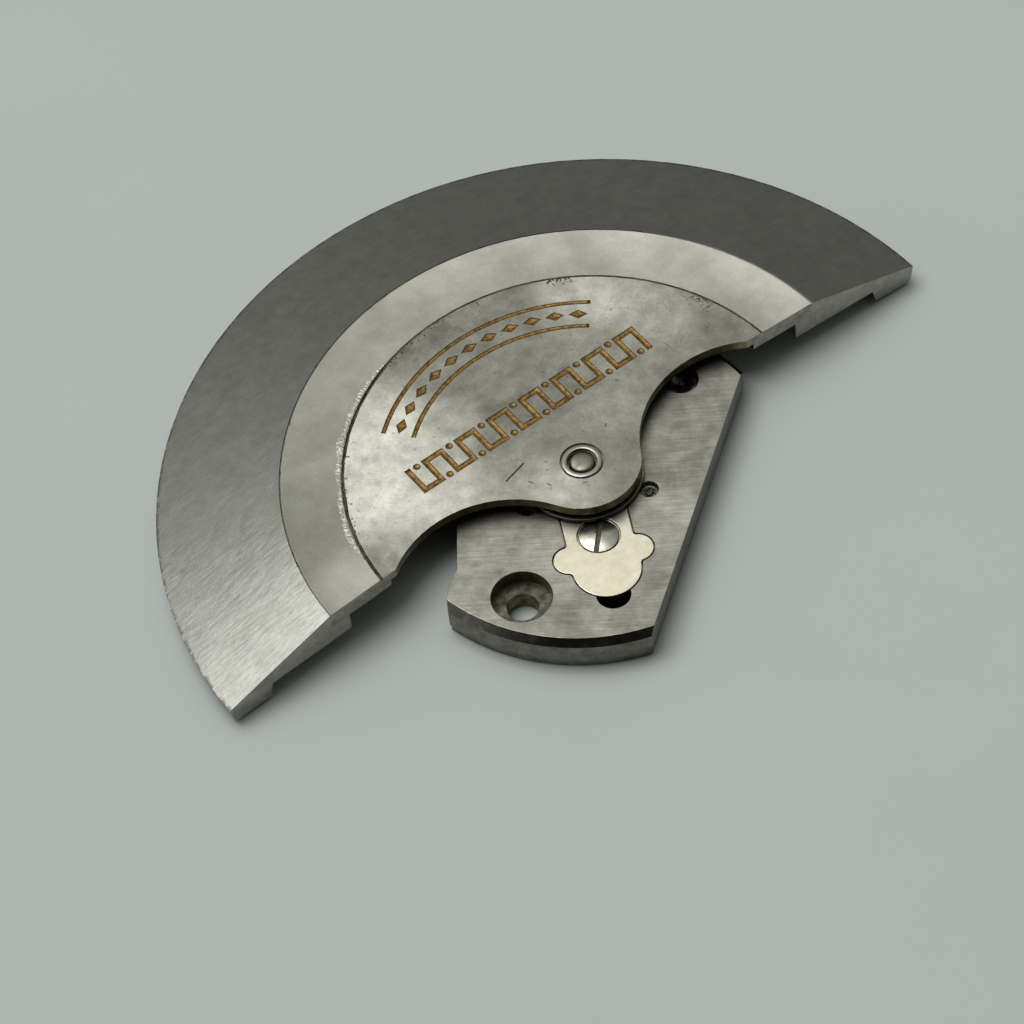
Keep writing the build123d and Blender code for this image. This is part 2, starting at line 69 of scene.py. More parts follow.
class Body(Enum):
    """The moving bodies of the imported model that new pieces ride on."""

    BRIDGE = "bridge"
    ROTOR = "rotor"


# Colour and node helpers

def srgb(colour: str) -> tuple[float, float, float, float]:
    """Turns a written colour into the linear colour that a shader takes.

    Args:
        colour: sRGB hex value such as "#8c8b86".

    Returns:
        Linear red, green, blue and an alpha of one.
    """
    # The numbers are those of the sRGB standard
    channels = [int(colour[index:index + 2], 16) / 255 for index in (1, 3, 5)]
    linear = [value / 12.92 if value <= 0.04045 else ((value + 0.055) / 1.055) ** 2.4 for value in channels]
    return linear[0], linear[1], linear[2], 1.0


def add_node(tree: Tree, kind: str, inputs: dict | None = None, output: int | str = 0,
             **settings: object) -> Socket:
    """Adds one shader node to a tree.

    Args:
        tree: the node tree.
        kind: the node's type name after its leading ShaderNode.
        inputs: input name or number to a value, or to the socket that feeds it.
        output: name or number of the output that is wanted.
        settings: properties of the node itself.

    Returns:
        The wanted output, or the first input's socket of a node that has none.
    """
    node = tree.nodes.new("ShaderNode" + kind)
    for name, value in settings.items():
        setattr(node, name, value)
    for socket, value in (inputs or {}).items():
        if isinstance(value, bpy.types.NodeSocket):
            tree.links.new(value, node.inputs[socket])
        else:
            node.inputs[socket].default_value = value
    return node.outputs[output] if node.outputs else node.inputs[0]


def in_plan(tree: Tree, place: Socket, centre: Point2 = (0.0, 0.0)) -> Socket:
    """Adds the level vector from a centre to a surface point.

    Args:
        tree: the material's node tree.
        place: the surface point in millimetres.
        centre: the centre, which is the rotor's axis unless it is given.

    Returns:
        The vector.
    """
    level = add_node(tree, "VectorMath", {0: place, 1: (1.0, 1.0, 0.0)}, operation="MULTIPLY")
    return add_node(tree, "VectorMath", {0: level, 1: (*centre, 0.0)}, operation="SUBTRACT")


def plan_distance(tree: Tree, place: Socket, centre: Point2 = (0.0, 0.0)) -> Socket:
    """Adds the length of the level vector from a centre, or from the rotor's axis, to a surface point."""
    return add_node(tree, "VectorMath", {0: in_plan(tree, place, centre)}, "Value", operation="LENGTH")


# Finishes

@dataclass(frozen=True)
class CloudyZone:
    """A round place with a cloudy border. A finish paints it paler and rougher, which on the web and the
    flange is a painted sheen, and a layer of marks is deeper there.

    Noise below the low limit leaves the least share of the zone's strength, noise above the high limit leaves
    all of it.
    """

    centre: Point2
    reach: float
    strength: float = 1.0
    cloud_low: float = 0.35
    cloud_high: float = 0.6
    least_share: float = 0.45

    def mask(self, tree: Tree, place: Socket, clouds: Socket) -> Socket:
        """Draws the zone with a cloudy border.

        Args:
            tree: the material's node tree.
            place: the surface point in millimetres.
            clouds: noise that breaks up the border.

        Returns:
            The zone's strength.
        """
        nearness = add_node(tree, "MapRange", {
            "Value": plan_distance(tree, place, self.centre), "From Min": self.reach / 3,
            "From Max": self.reach, "To Min": self.strength, "To Max": 0.0}, interpolation_type="SMOOTHSTEP")
        broken = add_node(tree, "MapRange", {
            "Value": clouds, "From Min": self.cloud_low, "From Max": self.cloud_high,
            "To Min": self.least_share})
        return add_node(tree, "Math", {0: nearness, 1: broken}, operation="MULTIPLY")


@dataclass(frozen=True)
class Marks:
    """One layer of fine marks left by a tool or a cloth, with sizes in millimetres.

    Noise below the low limit multiplies the colour by the shade, noise above the high limit by the shine.
    The layer is raised by its depth, and only inside its zone if it has one.
    """

    working: Working
    length: float
    width: float
    shade: float
    shine: float
    depth: float
    angle: float = 0.0
    low: float = 0.3
    high: float = 0.7
    turning_radius: float = 5.0
    zone: CloudyZone | None = None

    def pattern(self, tree: Tree, place: Socket) -> Socket:
        """Draws the layer.

        Args:
            tree: the material's node tree.
            place: the surface point in millimetres.

        Returns:
            Noise from zero to one, stretched along the marks.
        """
        stretched = place
        if self.working is Working.TURNED:
            x, y = (add_node(tree, "SeparateXYZ", {0: place}, axis) for axis in (0, 1))
            back = add_node(tree, "Math", {0: x, 1: -1.0}, operation="MULTIPLY")
            turn = add_node(tree, "Math", {0: back, 1: y}, operation="ARCTAN2")
            along = add_node(tree, "Math", {0: turn, 1: self.turning_radius}, operation="MULTIPLY")
            stretched = add_node(tree, "CombineXYZ", {0: along, 1: plan_distance(tree, place)})
        scaled = add_node(tree, "Mapping", {
            "Vector": stretched, "Rotation": (0, 0, math.radians(self.angle)),
            "Scale": (self.length, self.width, self.width)}, vector_type="TEXTURE")
        return add_node(tree, "TexNoise", {"Vector": scaled, "Scale": 1.0, "Detail": 2.0})

    def tint(self, tree: Tree, colour: Socket, pattern: Socket) -> Socket:
        """Darkens and brightens a colour by the layer.

        Args:
            tree: the material's node tree.
            colour: the colour so far.
            pattern: the layer's noise.

        Returns:
            The tinted colour.
        """
        value = add_node(tree, "MapRange", {
            "Value": pattern, "From Min": self.low, "From Max": self.high,
            "To Min": self.shade, "To Max": self.shine})
        return add_node(tree, "VectorMath", {0: colour, "Scale": value}, operation="SCALE")


@dataclass(frozen=True)
class Nick:
    """A dent or scratch along a short line, with sizes in millimetres."""

    start: Point2
    stop: Point2
    width: float
    strength: float = 0.8

    def mask(self, tree: Tree, place: Socket) -> Socket:
        """Draws the nick.

        Args:
            tree: the material's node tree.
            place: the surface point in millimetres.

        Returns:
            The nick's strength, zero away from it.
        """
        run = Vector((*self.stop, 0.0)) - Vector((*self.start, 0.0))
        away = in_plan(tree, place, self.start)
        along = add_node(tree, "VectorMath", {0: away, 1: run / run.length_squared}, "Value",
                         operation="DOT_PRODUCT")
        held = add_node(tree, "Clamp", {0: along})
        foot = add_node(tree, "VectorMath", {0: run, "Scale": held}, operation="SCALE")
        distance = add_node(tree, "VectorMath", {0: away, 1: foot}, "Value", operation="DISTANCE")
        return add_node(tree, "MapRange", {
            "Value": distance, "From Min": self.width / 4, "From Max": self.width / 2,
            "To Min": self.strength, "To Max": 0.0})


@dataclass(frozen=True)
class DarkSpecks:
    """Dark specks between two radii, over a run of angles about the rotor's axis: dry oil and dust beside the
    groove, and along the rim's worn outer edge a painted dark reflection.

    The specks show where noise, raised by the gain towards the outer radius and the middle angle, passes
    the threshold, and are whole a step above it.
    """

    middle_angle: float
    half_angle: float
    inner_radius: float
    outer_radius: float
    speck_size: float = 0.09
    threshold: float = 0.62
    step: float = 0.08
    edge_share: float = 1.5
    gain: float = 0.1
    strength: float = 0.7

    def mask(self, tree: Tree, place: Socket) -> Socket:
        """Draws the specks.

        Args:
            tree: the material's node tree.
            place: the surface point in millimetres.

        Returns:
            The specks' strength.
        """
        middle_radius = (self.inner_radius + self.outer_radius) / 2
        turn = math.radians(self.middle_angle)
        middle = (middle_radius * math.cos(turn), middle_radius * math.sin(turn))
        radius = plan_distance(tree, place)
        near_ring = add_node(tree, "MapRange", {
            "Value": radius, "From Min": self.inner_radius, "From Max": self.outer_radius,
            "To Max": self.edge_share})
        inside = add_node(tree, "Math", {0: radius, 1: self.outer_radius}, operation="LESS_THAN")
        reach = middle_radius * math.radians(self.half_angle)
        near_angle = add_node(tree, "MapRange", {
            "Value": plan_distance(tree, place, middle), "From Min": reach / 2, "From Max": reach,
            "To Min": 1.0, "To Max": 0.0})
        grains = add_node(tree, "TexNoise", {
            "Vector": place, "Scale": 1 / self.speck_size, "Detail": 3.0, "Roughness": 0.6})
        share = add_node(tree, "Math", {0: near_ring, 1: near_angle}, operation="MULTIPLY")
        lifted = add_node(tree, "Math", {0: share, 1: self.gain, 2: grains}, operation="MULTIPLY_ADD")
        shown = add_node(tree, "MapRange", {
            "Value": lifted, "From Min": self.threshold, "From Max": self.threshold + self.step,
            "To Max": self.strength})
        held = add_node(tree, "Math", {0: shown, 1: inside}, operation="MULTIPLY")
        return add_node(tree, "Math", {0: held, 1: share}, operation="MULTIPLY")


@dataclass(frozen=True)
class Finish:
    """A surface's looks, kept as one node material under the finish's name."""

    name: str

    def material(self) -> bpy.types.Material:
        """Finds the finish's material, or makes it at the first call.

        Returns:
            The material.
        """
        known = bpy.data.materials.get(self.name)
        if known:
            return known
        material = bpy.data.materials.new(self.name)
        material.use_nodes = True
        tree = material.node_tree
        tree.nodes.clear()
        metres = add_node(tree, "TexCoord", output="Object")
        place = add_node(tree, "VectorMath", {0: metres, "Scale": 1 / MM}, operation="SCALE")
        shader = add_node(tree, "BsdfPrincipled", self.look(tree, place))
        add_node(tree, "OutputMaterial", {"Surface": shader})
        return material

    def look(self, tree: Tree, place: Socket) -> dict:
        """Draws the surface.

        Args:
            tree: the material's node tree.
            place: the surface point in millimetres.

        Returns:
            Inputs of the surface shader.
        """
        raise NotImplementedError

    def blend(self, tree: Tree, share: Socket, first: Socket | str, second: str) -> Socket:
        """Mixes two colours.

        Args:
            tree: the material's node tree.
            share: share of the second colour.
            first: the first colour, written or drawn.
            second: the second colour.

        Returns:
            The mixed colour.
        """
        start = srgb(first) if isinstance(first, str) else first
        return add_node(tree, "Mix", {0: share, 6: start, 7: srgb(second)}, 2, data_type="RGBA")


@dataclass(frozen=True)
class MetalFinish(Finish):
    """A worked metal: colour, cloudy tarnish, pale zones, layers of marks, nicks, dark specks and its own
    flank.

    Lengths are in millimetres. Noise below the low limit leaves the colour, and noise above the high limit
    turns it to the tarnish, which is rougher by the swing. The pale zones are a painted sheen on the web and
    the flange. The flank is any face whose normal rises less than the flank's limits, where the last rub
    never reached; its colour is also painted light and shade, set darker or lighter for how the light falls
    on each wall.
    The dish raises the surface with the radius beyond its start, by its slope and its curve.
    """

    colour: str
    tarnish: str
    flank: str
    roughness: float
    roughness_swing: float = 0.06
    cloud_size: float = 1.6
    cloud_low: float = 0.35
    cloud_high: float = 0.65
    marks: tuple[Marks, ...] = ()
    nicks: tuple[Nick, ...] = ()
    dark_specks: tuple[DarkSpecks, ...] = ()
    dark_mark_colour: str = "#2e2c22"
    pale_zones: tuple[CloudyZone, ...] = ()
    pale_colour: str = "#d8d7ce"
    patch_roughness: float = 0.3
    anisotropy: float = 0.0
    flank_mottle: float = 0.25
    flank_mottle_size: float = 0.35
    flank_rises: Point2 = (0.3, 0.7)
    mottle_limits: Point2 = (0.3, 0.7)
    dish_slope: float = 0.0
    dish_start: float = 7.5
    dish_curve: float = 0.0

    def look(self, tree: Tree, place: Socket) -> dict:
        """Draws the metal.

        Args:
            tree: the material's node tree.
            place: the surface point in millimetres.

        Returns:
            Inputs of the surface shader.
        """
        clouds = add_node(tree, "TexNoise", {
            "Vector": place, "Scale": 1 / self.cloud_size, "Detail": 5.0, "Roughness": 0.6})
        cloud_share = add_node(tree, "MapRange", {
            "Value": clouds, "From Min": self.cloud_low, "From Max": self.cloud_high})
        colour = self.blend(tree, cloud_share, self.colour, self.tarnish)
        rough = add_node(tree, "MapRange", {
            "Value": cloud_share, "To Min": self.roughness, "To Max": self.roughness + self.roughness_swing})
        # Pale zones: paler, rougher colour, a painted sheen where the surface looks brightest under the
        # window
        for zone in self.pale_zones:
            mask = zone.mask(tree, place, clouds)
            colour = self.blend(tree, mask, colour, self.pale_colour)
            rough = add_node(tree, "Math", {0: mask, 1: self.patch_roughness, 2: rough},
                             operation="MULTIPLY_ADD")
        height = self.dish(tree, place)
        for layer in self.marks:
            pattern = layer.pattern(tree, place)
            depth = layer.depth
            if layer.zone:
                mask = layer.zone.mask(tree, place, clouds)
                depth = add_node(tree, "Math", {0: mask, 1: layer.depth}, operation="MULTIPLY")
            colour = layer.tint(tree, colour, pattern)
            height = add_node(tree, "Math", {0: pattern, 1: depth, 2: height}, operation="MULTIPLY_ADD")
        for mark in (*self.nicks, *self.dark_specks):
            mask = mark.mask(tree, place)
            colour = self.blend(tree, mask, colour, self.dark_mark_colour)
        inputs = {
            "Base Color": self.with_flank(tree, place, colour), "Metallic": 1.0, "Roughness": rough,
            "Normal": add_node(tree, "Bump", {"Height": height, "Distance": MM})}
        if self.anisotropy:
            inputs |= {"Anisotropic": self.anisotropy, "Tangent": self.away_from_axis(tree, place)}
        return inputs

    def away_from_axis(self, tree: Tree, place: Socket) -> Socket:
        """Draws the direction away from the rotor's axis, along which turned rings spread the light."""
        return add_node(tree, "VectorTransform", {0: in_plan(tree, place)}, vector_type="VECTOR",
                        convert_from="OBJECT", convert_to="WORLD")

    def dish(self, tree: Tree, place: Socket) -> Socket | float:
        """Draws a surface that the last lap left a little lower or higher towards the rotor's axis.

        Args:
            tree: the material's node tree.
            place: the surface point in millimetres.

        Returns:
            The height in millimetres.
        """
        if not self.dish_slope:
            return 0.0
        radius = plan_distance(tree, place)
        outward = add_node(tree, "Math", {0: radius, 1: self.dish_start}, operation="SUBTRACT")
        slope = add_node(tree, "Math", {0: outward, 1: self.dish_curve, 2: self.dish_slope},
                         operation="MULTIPLY_ADD")
        return add_node(tree, "Math", {0: outward, 1: slope}, operation="MULTIPLY")

    def with_flank(self, tree: Tree, place: Socket, colour: Socket) -> Socket:
        """Gives steep faces their own mottled colour, which also paints light and shade on the walls.

        Args:
            tree: the material's node tree.
            place: the surface point in millimetres.
            colour: the colour so far.

        Returns:
            The colour with its flanks.
        """
        normal = add_node(tree, "TexCoord", output="Normal")
        rise = add_node(tree, "SeparateXYZ", {0: normal}, 2)
        steep = add_node(tree, "MapRange", {
            "Value": rise, "From Min": self.flank_rises[0], "From Max": self.flank_rises[1],
            "To Min": 1.0, "To Max": 0.0})
        blotches = add_node(tree, "TexNoise", {
            "Vector": place, "Scale": 1 / self.flank_mottle_size, "Detail": 4.0, "Roughness": 0.65})
        value = add_node(tree, "MapRange", {
            "Value": blotches, "From Min": self.mottle_limits[0], "From Max": self.mottle_limits[1],
            "To Min": 1 - self.flank_mottle, "To Max": 1 + self.flank_mottle})
        flank = add_node(tree, "VectorMath", {0: srgb(self.flank)[:3], "Scale": value}, operation="SCALE")
        return add_node(tree, "Mix", {0: steep, 6: colour, 7: flank}, 2, data_type="RGBA")


@dataclass(frozen=True)
class InlayFinish(Finish):
    """Gilt lacquer wiped into a cut: golden brown, half gloss, with painted shade where it meets the wall."""

    colour: str
    shade: str
    edge: str
    lump_size: float = 0.12
    lump_depth: float = 0.006
    shade_limits: Point2 = (0.4, 0.65)
    metallic: float = 0.55
    roughness: float = 0.38

    def look(self, tree: Tree, place: Socket) -> dict:
        """Draws the lacquer.

        Args:
            tree: the material's node tree.
            place: the surface point in millimetres.

        Returns:
            Inputs of the surface shader.
        """
        lumps = add_node(tree, "TexNoise", {"Vector": place, "Scale": 1 / self.lump_size, "Detail": 3.0})
        share = add_node(tree, "MapRange", {
            "Value": lumps, "From Min": self.shade_limits[0], "From Max": self.shade_limits[1]})
        colour = self.blend(tree, share, self.colour, self.shade)
        # The edge colour near the cut's wall is painted shade
        wall = add_node(tree, "Attribute", output="Fac", attribute_name="wall")
        height = add_node(tree, "Math", {0: lumps, 1: self.lump_depth}, operation="MULTIPLY")
        return {"Base Color": self.blend(tree, wall, colour, self.edge), "Metallic": self.metallic,
                "Roughness": self.roughness,
                "Normal": add_node(tree, "Bump", {"Height": height, "Distance": MM})}


@dataclass(frozen=True)
class RubyFinish(Finish):
    """Synthetic ruby: deep red glassy stone under a film of old oil with grey flecks in it.

    Noise above the oil's limits turns the stone to oil, and noise above the flecks' limit turns it to flecks.
    """

    colour: str
    oil: str
    fleck: str
    oil_low: float
    oil_high: float
    fleck_low: float
    fleck_step: float = 0.05
    film_size: float = 0.16
    fleck_size: float = 0.07
    clean_roughness: float = 0.06
    patch_roughness: float = 0.45
    ior: float = 1.77

    def look(self, tree: Tree, place: Socket) -> dict:
        """Draws the stone.

        Args:
            tree: the material's node tree.
            place: the surface point in millimetres.

        Returns:
            Inputs of the surface shader.
        """
        film = add_node(tree, "TexNoise", {
            "Vector": place, "Scale": 1 / self.film_size, "Detail": 4.0, "Roughness": 0.7})
        oiled = add_node(tree, "MapRange", {
            "Value": film, "From Min": self.oil_low, "From Max": self.oil_high})
        flecks = add_node(tree, "TexNoise", {
            "Vector": place, "Scale": 1 / self.fleck_size, "Detail": 3.0, "Roughness": 0.6})
        flecked = add_node(tree, "MapRange", {
            "Value": flecks, "From Min": self.fleck_low, "From Max": self.fleck_low + self.fleck_step})
        colour = self.blend(tree, flecked, self.blend(tree, oiled, self.colour, self.oil), self.fleck)
        worn = add_node(tree, "Math", {0: oiled, 1: flecked}, operation="MAXIMUM")
        rough = add_node(tree, "MapRange", {
            "Value": worn, "To Min": self.clean_roughness, "To Max": self.patch_roughness})
        return {"Base Color": colour, "Metallic": 0.0, "Roughness": rough, "IOR": self.ior}


@dataclass(frozen=True)
class CardFinish(Finish):
    """Smooth pale grey-green card under the part, with its faint clouds and its fibres."""

    colour: str
    shade: str
    cloud_size: float = 9.0
    fibre_size: float = 0.25
    fibre_depth: float = 0.003
    roughness: float = 0.7
    specular: float = 0.25

    def look(self, tree: Tree, place: Socket) -> dict:
        """Draws the card.

        Args:
            tree: the material's node tree.
            place: the surface point in millimetres.

        Returns:
            Inputs of the surface shader.
        """
        clouds = add_node(tree, "TexNoise", {"Vector": place, "Scale": 1 / self.cloud_size, "Detail": 3.0})
        fibres = add_node(tree, "TexNoise", {"Vector": place, "Scale": 1 / self.fibre_size, "Detail": 3.0})
        height = add_node(tree, "Math", {0: fibres, 1: self.fibre_depth}, operation="MULTIPLY")
        return {"Base Color": self.blend(tree, clouds, self.colour, self.shade), "Roughness": self.roughness,
                "Specular IOR Level": self.specular,
                "Normal": add_node(tree, "Bump", {"Height": height, "Distance": MM})}


# Angle of the bridge's rubbed grain, and radius of the seam between the rim and the flange
GRAIN_ANGLE = -40.2
SEAM_RADIUS = 9.46


def seam_nicks(count: int) -> tuple[Nick, ...]:
    """Scatters small dents along the seam between the rim and the flange.

    Args:
        count: number of dents.

    Returns:
        The dents, bunched where the noise puts them.
    """
    first_angle, angle_run = 20, 155
    shortest, lengthening = 0.05, 0.08
    narrowest, widening = 0.05, 0.04
    strength = 0.7
    noise_stride = 3.7
    nicks = []
    for index in range(count):
        wander = [noise.noise(Vector((index * noise_stride, row, 0.0))) for row in range(3)]
        turn = math.radians(first_angle + (index + 2 * wander[0]) * angle_run / count)
        reach = shortest + lengthening * abs(wander[1])
        outward = Vector((math.cos(turn), math.sin(turn)))
        along = Vector((-outward.y, outward.x)) * reach
        place = outward * SEAM_RADIUS
        nicks.append(Nick(tuple(place - along), tuple(place + along + outward * reach * wander[2]),
                          narrowest + widening * abs(wander[0]), strength))
    return tuple(nicks)


def specks(size: float, shade: float, shine: float, depth: float, low: float = 0.3,
           high: float = 0.7) -> Marks:
    """Makes a layer of marks as long as they are wide."""
    return Marks(Working.SPECKLED, size, size, shade, shine, depth, low=low, high=high)


SEAM_NICKS = seam_nicks(17)
# Start, stop, width and strength of the dents and scratches where tools slipped on the web
WEB_NICKS = (
    Nick((-2.27, 0.89), (-1.45, 1.10), 0.075, 1.0), Nick((4.86, 2.07), (4.92, 1.5), 0.03, 0.6),
    Nick((-1.95, 7.75), (-1.90, 7.62), 0.06), Nick((-0.79, 7.33), (-0.77, 7.2), 0.05),
    Nick((1.31, 7.28), (1.30, 7.12), 0.05), Nick((1.46, 0.66), (1.38, 0.60), 0.06),
    Nick((-1.75, 0.42), (-1.70, 0.30), 0.05), Nick((-1.36, 0.0), (-1.32, -0.14), 0.05),
    Nick((-0.5, -0.72), (-0.38, -0.75), 0.05), Nick((1.29, 3.86), (1.71, 4.14), 0.03, 0.35))
# Middle and half angle, and inner and outer radius, of the dirt beside the groove
WEB_DIRT = (
    DarkSpecks(58.5, 6.0, 6.95, 7.45), DarkSpecks(21.5, 6.5, 6.6, 7.45, threshold=0.63),
    DarkSpecks(150.0, 30.0, 6.9, 7.45, speck_size=0.12, threshold=0.69),
    DarkSpecks(100.0, 18.0, 7.0, 7.45, threshold=0.66))

# Each metal starts with its name, colour, tarnish, flank, roughness and roughness swing. A pale zone is
# written as centre, reach and strength. A layer of marks is written as length, width, shade, shine and depth,
# and a layer of specks as size, shade, shine and depth. Marks of rubbing and turning are really about 0.01 mm
# wide. They are drawn 0.04 to 0.15 mm wide so that they show.

# Tungsten heavy metal, ground and rubbed straight: dull dark satin, its streaks showing where the light
# turns, and its broken dark line along the outer edge a painted dark reflection of the worn edge
HEAVY_ALLOY = MetalFinish(
    "rubbed_heavy_alloy", "#878782", "#81817c", "#a5a39b", 0.31, 0.02, cloud_size=3.0, nicks=SEAM_NICKS,
    dark_specks=(DarkSpecks(90.0, 250.0, 13.36, 13.52, speck_size=0.3, threshold=0.54),), dark_mark_colour="#47453c",
    marks=(Marks(Working.STRAIGHT, 3.4, 0.15, 0.98, 1.02, 0.0062, angle=-3, zone=CloudyZone((-12.2, 0.8), 8.0)),
           Marks(Working.STRAIGHT, 2.4, 0.09, 0.97, 1.04, 0.0022, angle=1),
           specks(0.55, 0.93, 1.07, 0.004), specks(0.3, 0.96, 1.04, 0.002), specks(0.12, 0.96, 1.04, 0.0003)))
# Nickel plate on brass, matt and cloudy from use, with dents and dirt; its pale zones are a painted sheen
# where the web catches the window's light
NICKEL_WEB = MetalFinish(
    "worn_nickel_plate", "#a09f95", "#7b7a73", "#7a785a", 0.27, 0.12, flank_mottle=0.5, cloud_size=1.9,
    cloud_low=0.4, cloud_high=0.62, nicks=WEB_NICKS, dark_specks=WEB_DIRT, dark_mark_colour="#3b342c",
    pale_colour="#dddcd1", patch_roughness=0.1, anisotropy=0.35, dish_slope=-0.02,
    pale_zones=(CloudyZone((-4.4, 5.2), 2.8, 0.95), CloudyZone((-6.0, 3.4), 2.4, 0.7),
                CloudyZone((-4.2, 2.2), 2.4, 0.6), CloudyZone((-2.4, 3.9), 1.6, 0.4),
                CloudyZone((-1.0, -0.2), 1.5, 0.25), CloudyZone((4.4, 5.4), 2.4, 0.6),
                CloudyZone((5.4, 3.2), 1.8, 0.3)),
    marks=(specks(0.45, 0.82, 1.12, 0.004), specks(0.08, 0.92, 1.08, 0.0012),
           specks(0.16, 1.0, 0.6, 0.001, low=0.66, high=0.74),
           Marks(Working.TURNED, 3.0, 0.06, 0.98, 1.02, 0.0004),
           Marks(Working.STRAIGHT, 1.6, 0.06, 1.0, 1.12, 0.0004, angle=28, low=0.62, high=0.72),
           Marks(Working.STRAIGHT, 1.2, 0.05, 1.0, 0.8, 0.0004, angle=-47, low=0.64, high=0.72),
           Marks(Working.STRAIGHT, 0.8, 0.05, 1.0, 0.85, 0.0004, angle=80, low=0.64, high=0.72)))
# The same plate on the flange, lapped by hand: cloudy satin, a little lower towards the groove, with a
# painted highlight in its pale zone near the left end
NICKEL_RING = MetalFinish(
    "lapped_nickel_ring", "#a8a79d", "#8e8d85", "#9a988c", 0.3, 0.04, cloud_size=2.2, nicks=SEAM_NICKS,
    dish_slope=0.055, dish_curve=0.017, pale_colour="#c4c3b8", patch_roughness=0.08,
    pale_zones=(CloudyZone((-8.3, 0.6), 1.9, 0.7),), flank_mottle=0.35,
    marks=(specks(0.5, 0.95, 1.05, 0.003), specks(0.09, 0.95, 1.05, 0.0006)))
# The same plate on the bush, turned: smooth satin
NICKEL_BUSH = MetalFinish(
    "turned_nickel_bush", "#9d9c92", "#84837a", "#9a988c", 0.26, 0.06, cloud_size=0.3,
    marks=(specks(0.08, 0.92, 1.06, 0.0006),))
# The plate where a graver tore it: pale, crumbled metal
TORN_NICKEL = MetalFinish(
    "torn_nickel_plate", "#cbcac1", "#a09f96", "#c0bfb6", 0.5, 0.1, cloud_size=0.2,
    marks=(specks(0.05, 0.75, 1.1, 0.004),))
# The groove, packed with old oil and dust and painted dark for the shade in the narrow cut: dull brown-black
GROOVE_DIRT_AND_SHADE = MetalFinish("dirty_shaded_turned_groove", "#5a574a", "#34322a", "#3a382e", 0.5, 0.1, cloud_size=0.3)
# Nickel plate rubbed along one direction: satin with short bright and dark strokes, stained in patches
NICKEL_BRIDGE = MetalFinish(
    "rubbed_nickel_plate", "#97968c", "#7c7b73", "#7b7971", 0.33, 0.06, cloud_size=1.1, cloud_low=0.4,
    cloud_high=0.62, flank_mottle=0.35, pale_colour="#abaaa0",
    pale_zones=(CloudyZone((-2.2, -2.2), 1.8, 0.8), CloudyZone((1.0, -3.2), 1.7, 0.8)),
    marks=(Marks(Working.STRAIGHT, 2.4, 0.07, 0.88, 1.12, 0.0012, angle=GRAIN_ANGLE + 4),
           Marks(Working.STRAIGHT, 0.8, 0.04, 0.9, 1.1, 0.0012, angle=GRAIN_ANGLE - 3),
           specks(0.35, 0.84, 1.1, 0.002),
           Marks(Working.STRAIGHT, 1.3, 0.05, 1.0, 1.25, 0.0004, angle=GRAIN_ANGLE + 9, low=0.62, high=0.7),
           specks(0.09, 1.0, 0.7, 0.001, low=0.66, high=0.74), specks(0.09, 0.94, 1.06, 0.0004)))
# The bridge's milled chamfer, smooth from the cutter: dark or bright with what it reflects
CUT_NICKEL = MetalFinish(
    "cut_nickel_silver", "#a09f95", "#84827a", "#4b4a3d", 0.16, 0.1, cloud_size=0.5,
    marks=(specks(0.3, 0.8, 1.5, 0.002, low=0.5), specks(0.07, 0.85, 1.2, 0.001)))
# Bare metal in holes, in the screw's slot and on the reversers' arbors: olive brown and dull with old oil,
# and dark as painted shade inside the holes and the slot
OILED_SHADED_WALL = MetalFinish(
    "oiled_shaded_bore_wall", "#6b695c", "#3f3e33", "#77745c", 0.42, 0.1, cloud_size=0.3, flank_mottle=0.6,
    marks=(specks(0.06, 0.75, 1.25, 0.002),))
# Hard steel lapped to a mirror and dulled with age: pale, a little warm, stained and specked
LOCK_MIRROR = MetalFinish(
    "mirror_lapped_steel", "#e6e0cf", "#d3cbb3", "#2c2a20", 0.3, 0.05, cloud_size=0.45,
    marks=(specks(0.2, 0.94, 1.04, 0.0012), specks(0.07, 1.0, 0.6, 0.0003, low=0.68, high=0.74)))
# Hard steel, turned and polished, dull with handling: grey with soft reflections
POLISHED_STEEL = MetalFinish(
    "turned_polished_steel", "#b8b6ab", "#9a988e", "#5c5a50", 0.2, 0.1, cloud_size=0.3,
    marks=(specks(0.06, 0.9, 1.06, 0.0008),))
# The same steel in the axle, under old oil: dark, its sides painted near black as the shade under the web,
# with thin bright edges
AXLE_STEEL = MetalFinish(
    "oiled_turned_steel_shaded_sides", "#8c8a80", "#6b695f", "#312f28", 0.3, 0.1, cloud_size=0.25,
    marks=(specks(0.05, 0.85, 1.1, 0.001),))
# Hardened steel left from the cutter: plain grey satin
TRAIN_STEEL = MetalFinish(
    "hardened_cut_steel", "#a9aaac", "#97989a", "#7d7e80", 0.3, 0.1, cloud_size=0.6,
    marks=(specks(0.05, 0.9, 1.1, 0.0008),))
# Gilt brass wheels: warm yellow satin
TRAIN_BRASS = MetalFinish(
    "gilt_brass", "#d9b768", "#c9a552", "#8e6f2e", 0.28, 0.1, cloud_size=0.8,
    marks=(specks(0.06, 0.93, 1.07, 0.0008),))
# Turned bronze bearing rings: brown-gold with fine rings
BEARING_BRONZE = MetalFinish(
    "turned_bronze", "#c79a5c", "#b08348", "#6f5127", 0.3, 0.1, cloud_size=0.7,
    marks=(Marks(Working.TURNED, 1.5, 0.04, 0.9, 1.1, 0.0008),))
# Lacquer with gilt powder in it: golden brown, half gloss, uneven as it was wiped in, with a near-black
# painted shade along the cut's walls
GILT_INLAY = InlayFinish("gilt_lacquer_inlay", "#8e6b2a", "#543d16", "#201709")
# Polished stone: almost black with a red depth, and grey with dry oil where the oil ran out of the pivots
CLEAN_RUBY = RubyFinish("synthetic_ruby", "#22060f", "#0f080d", "#5c574e", 0.42, 0.62, 0.68)
OILED_RUBY = RubyFinish("oiled_synthetic_ruby", "#1d0a10", "#0b0a09", "#8a887c", 0.35, 0.5, 0.5)
# Smooth pale card: even and matt
PALE_CARD = CardFinish("pale_card", "#c0c6c4", "#bcc2c0")


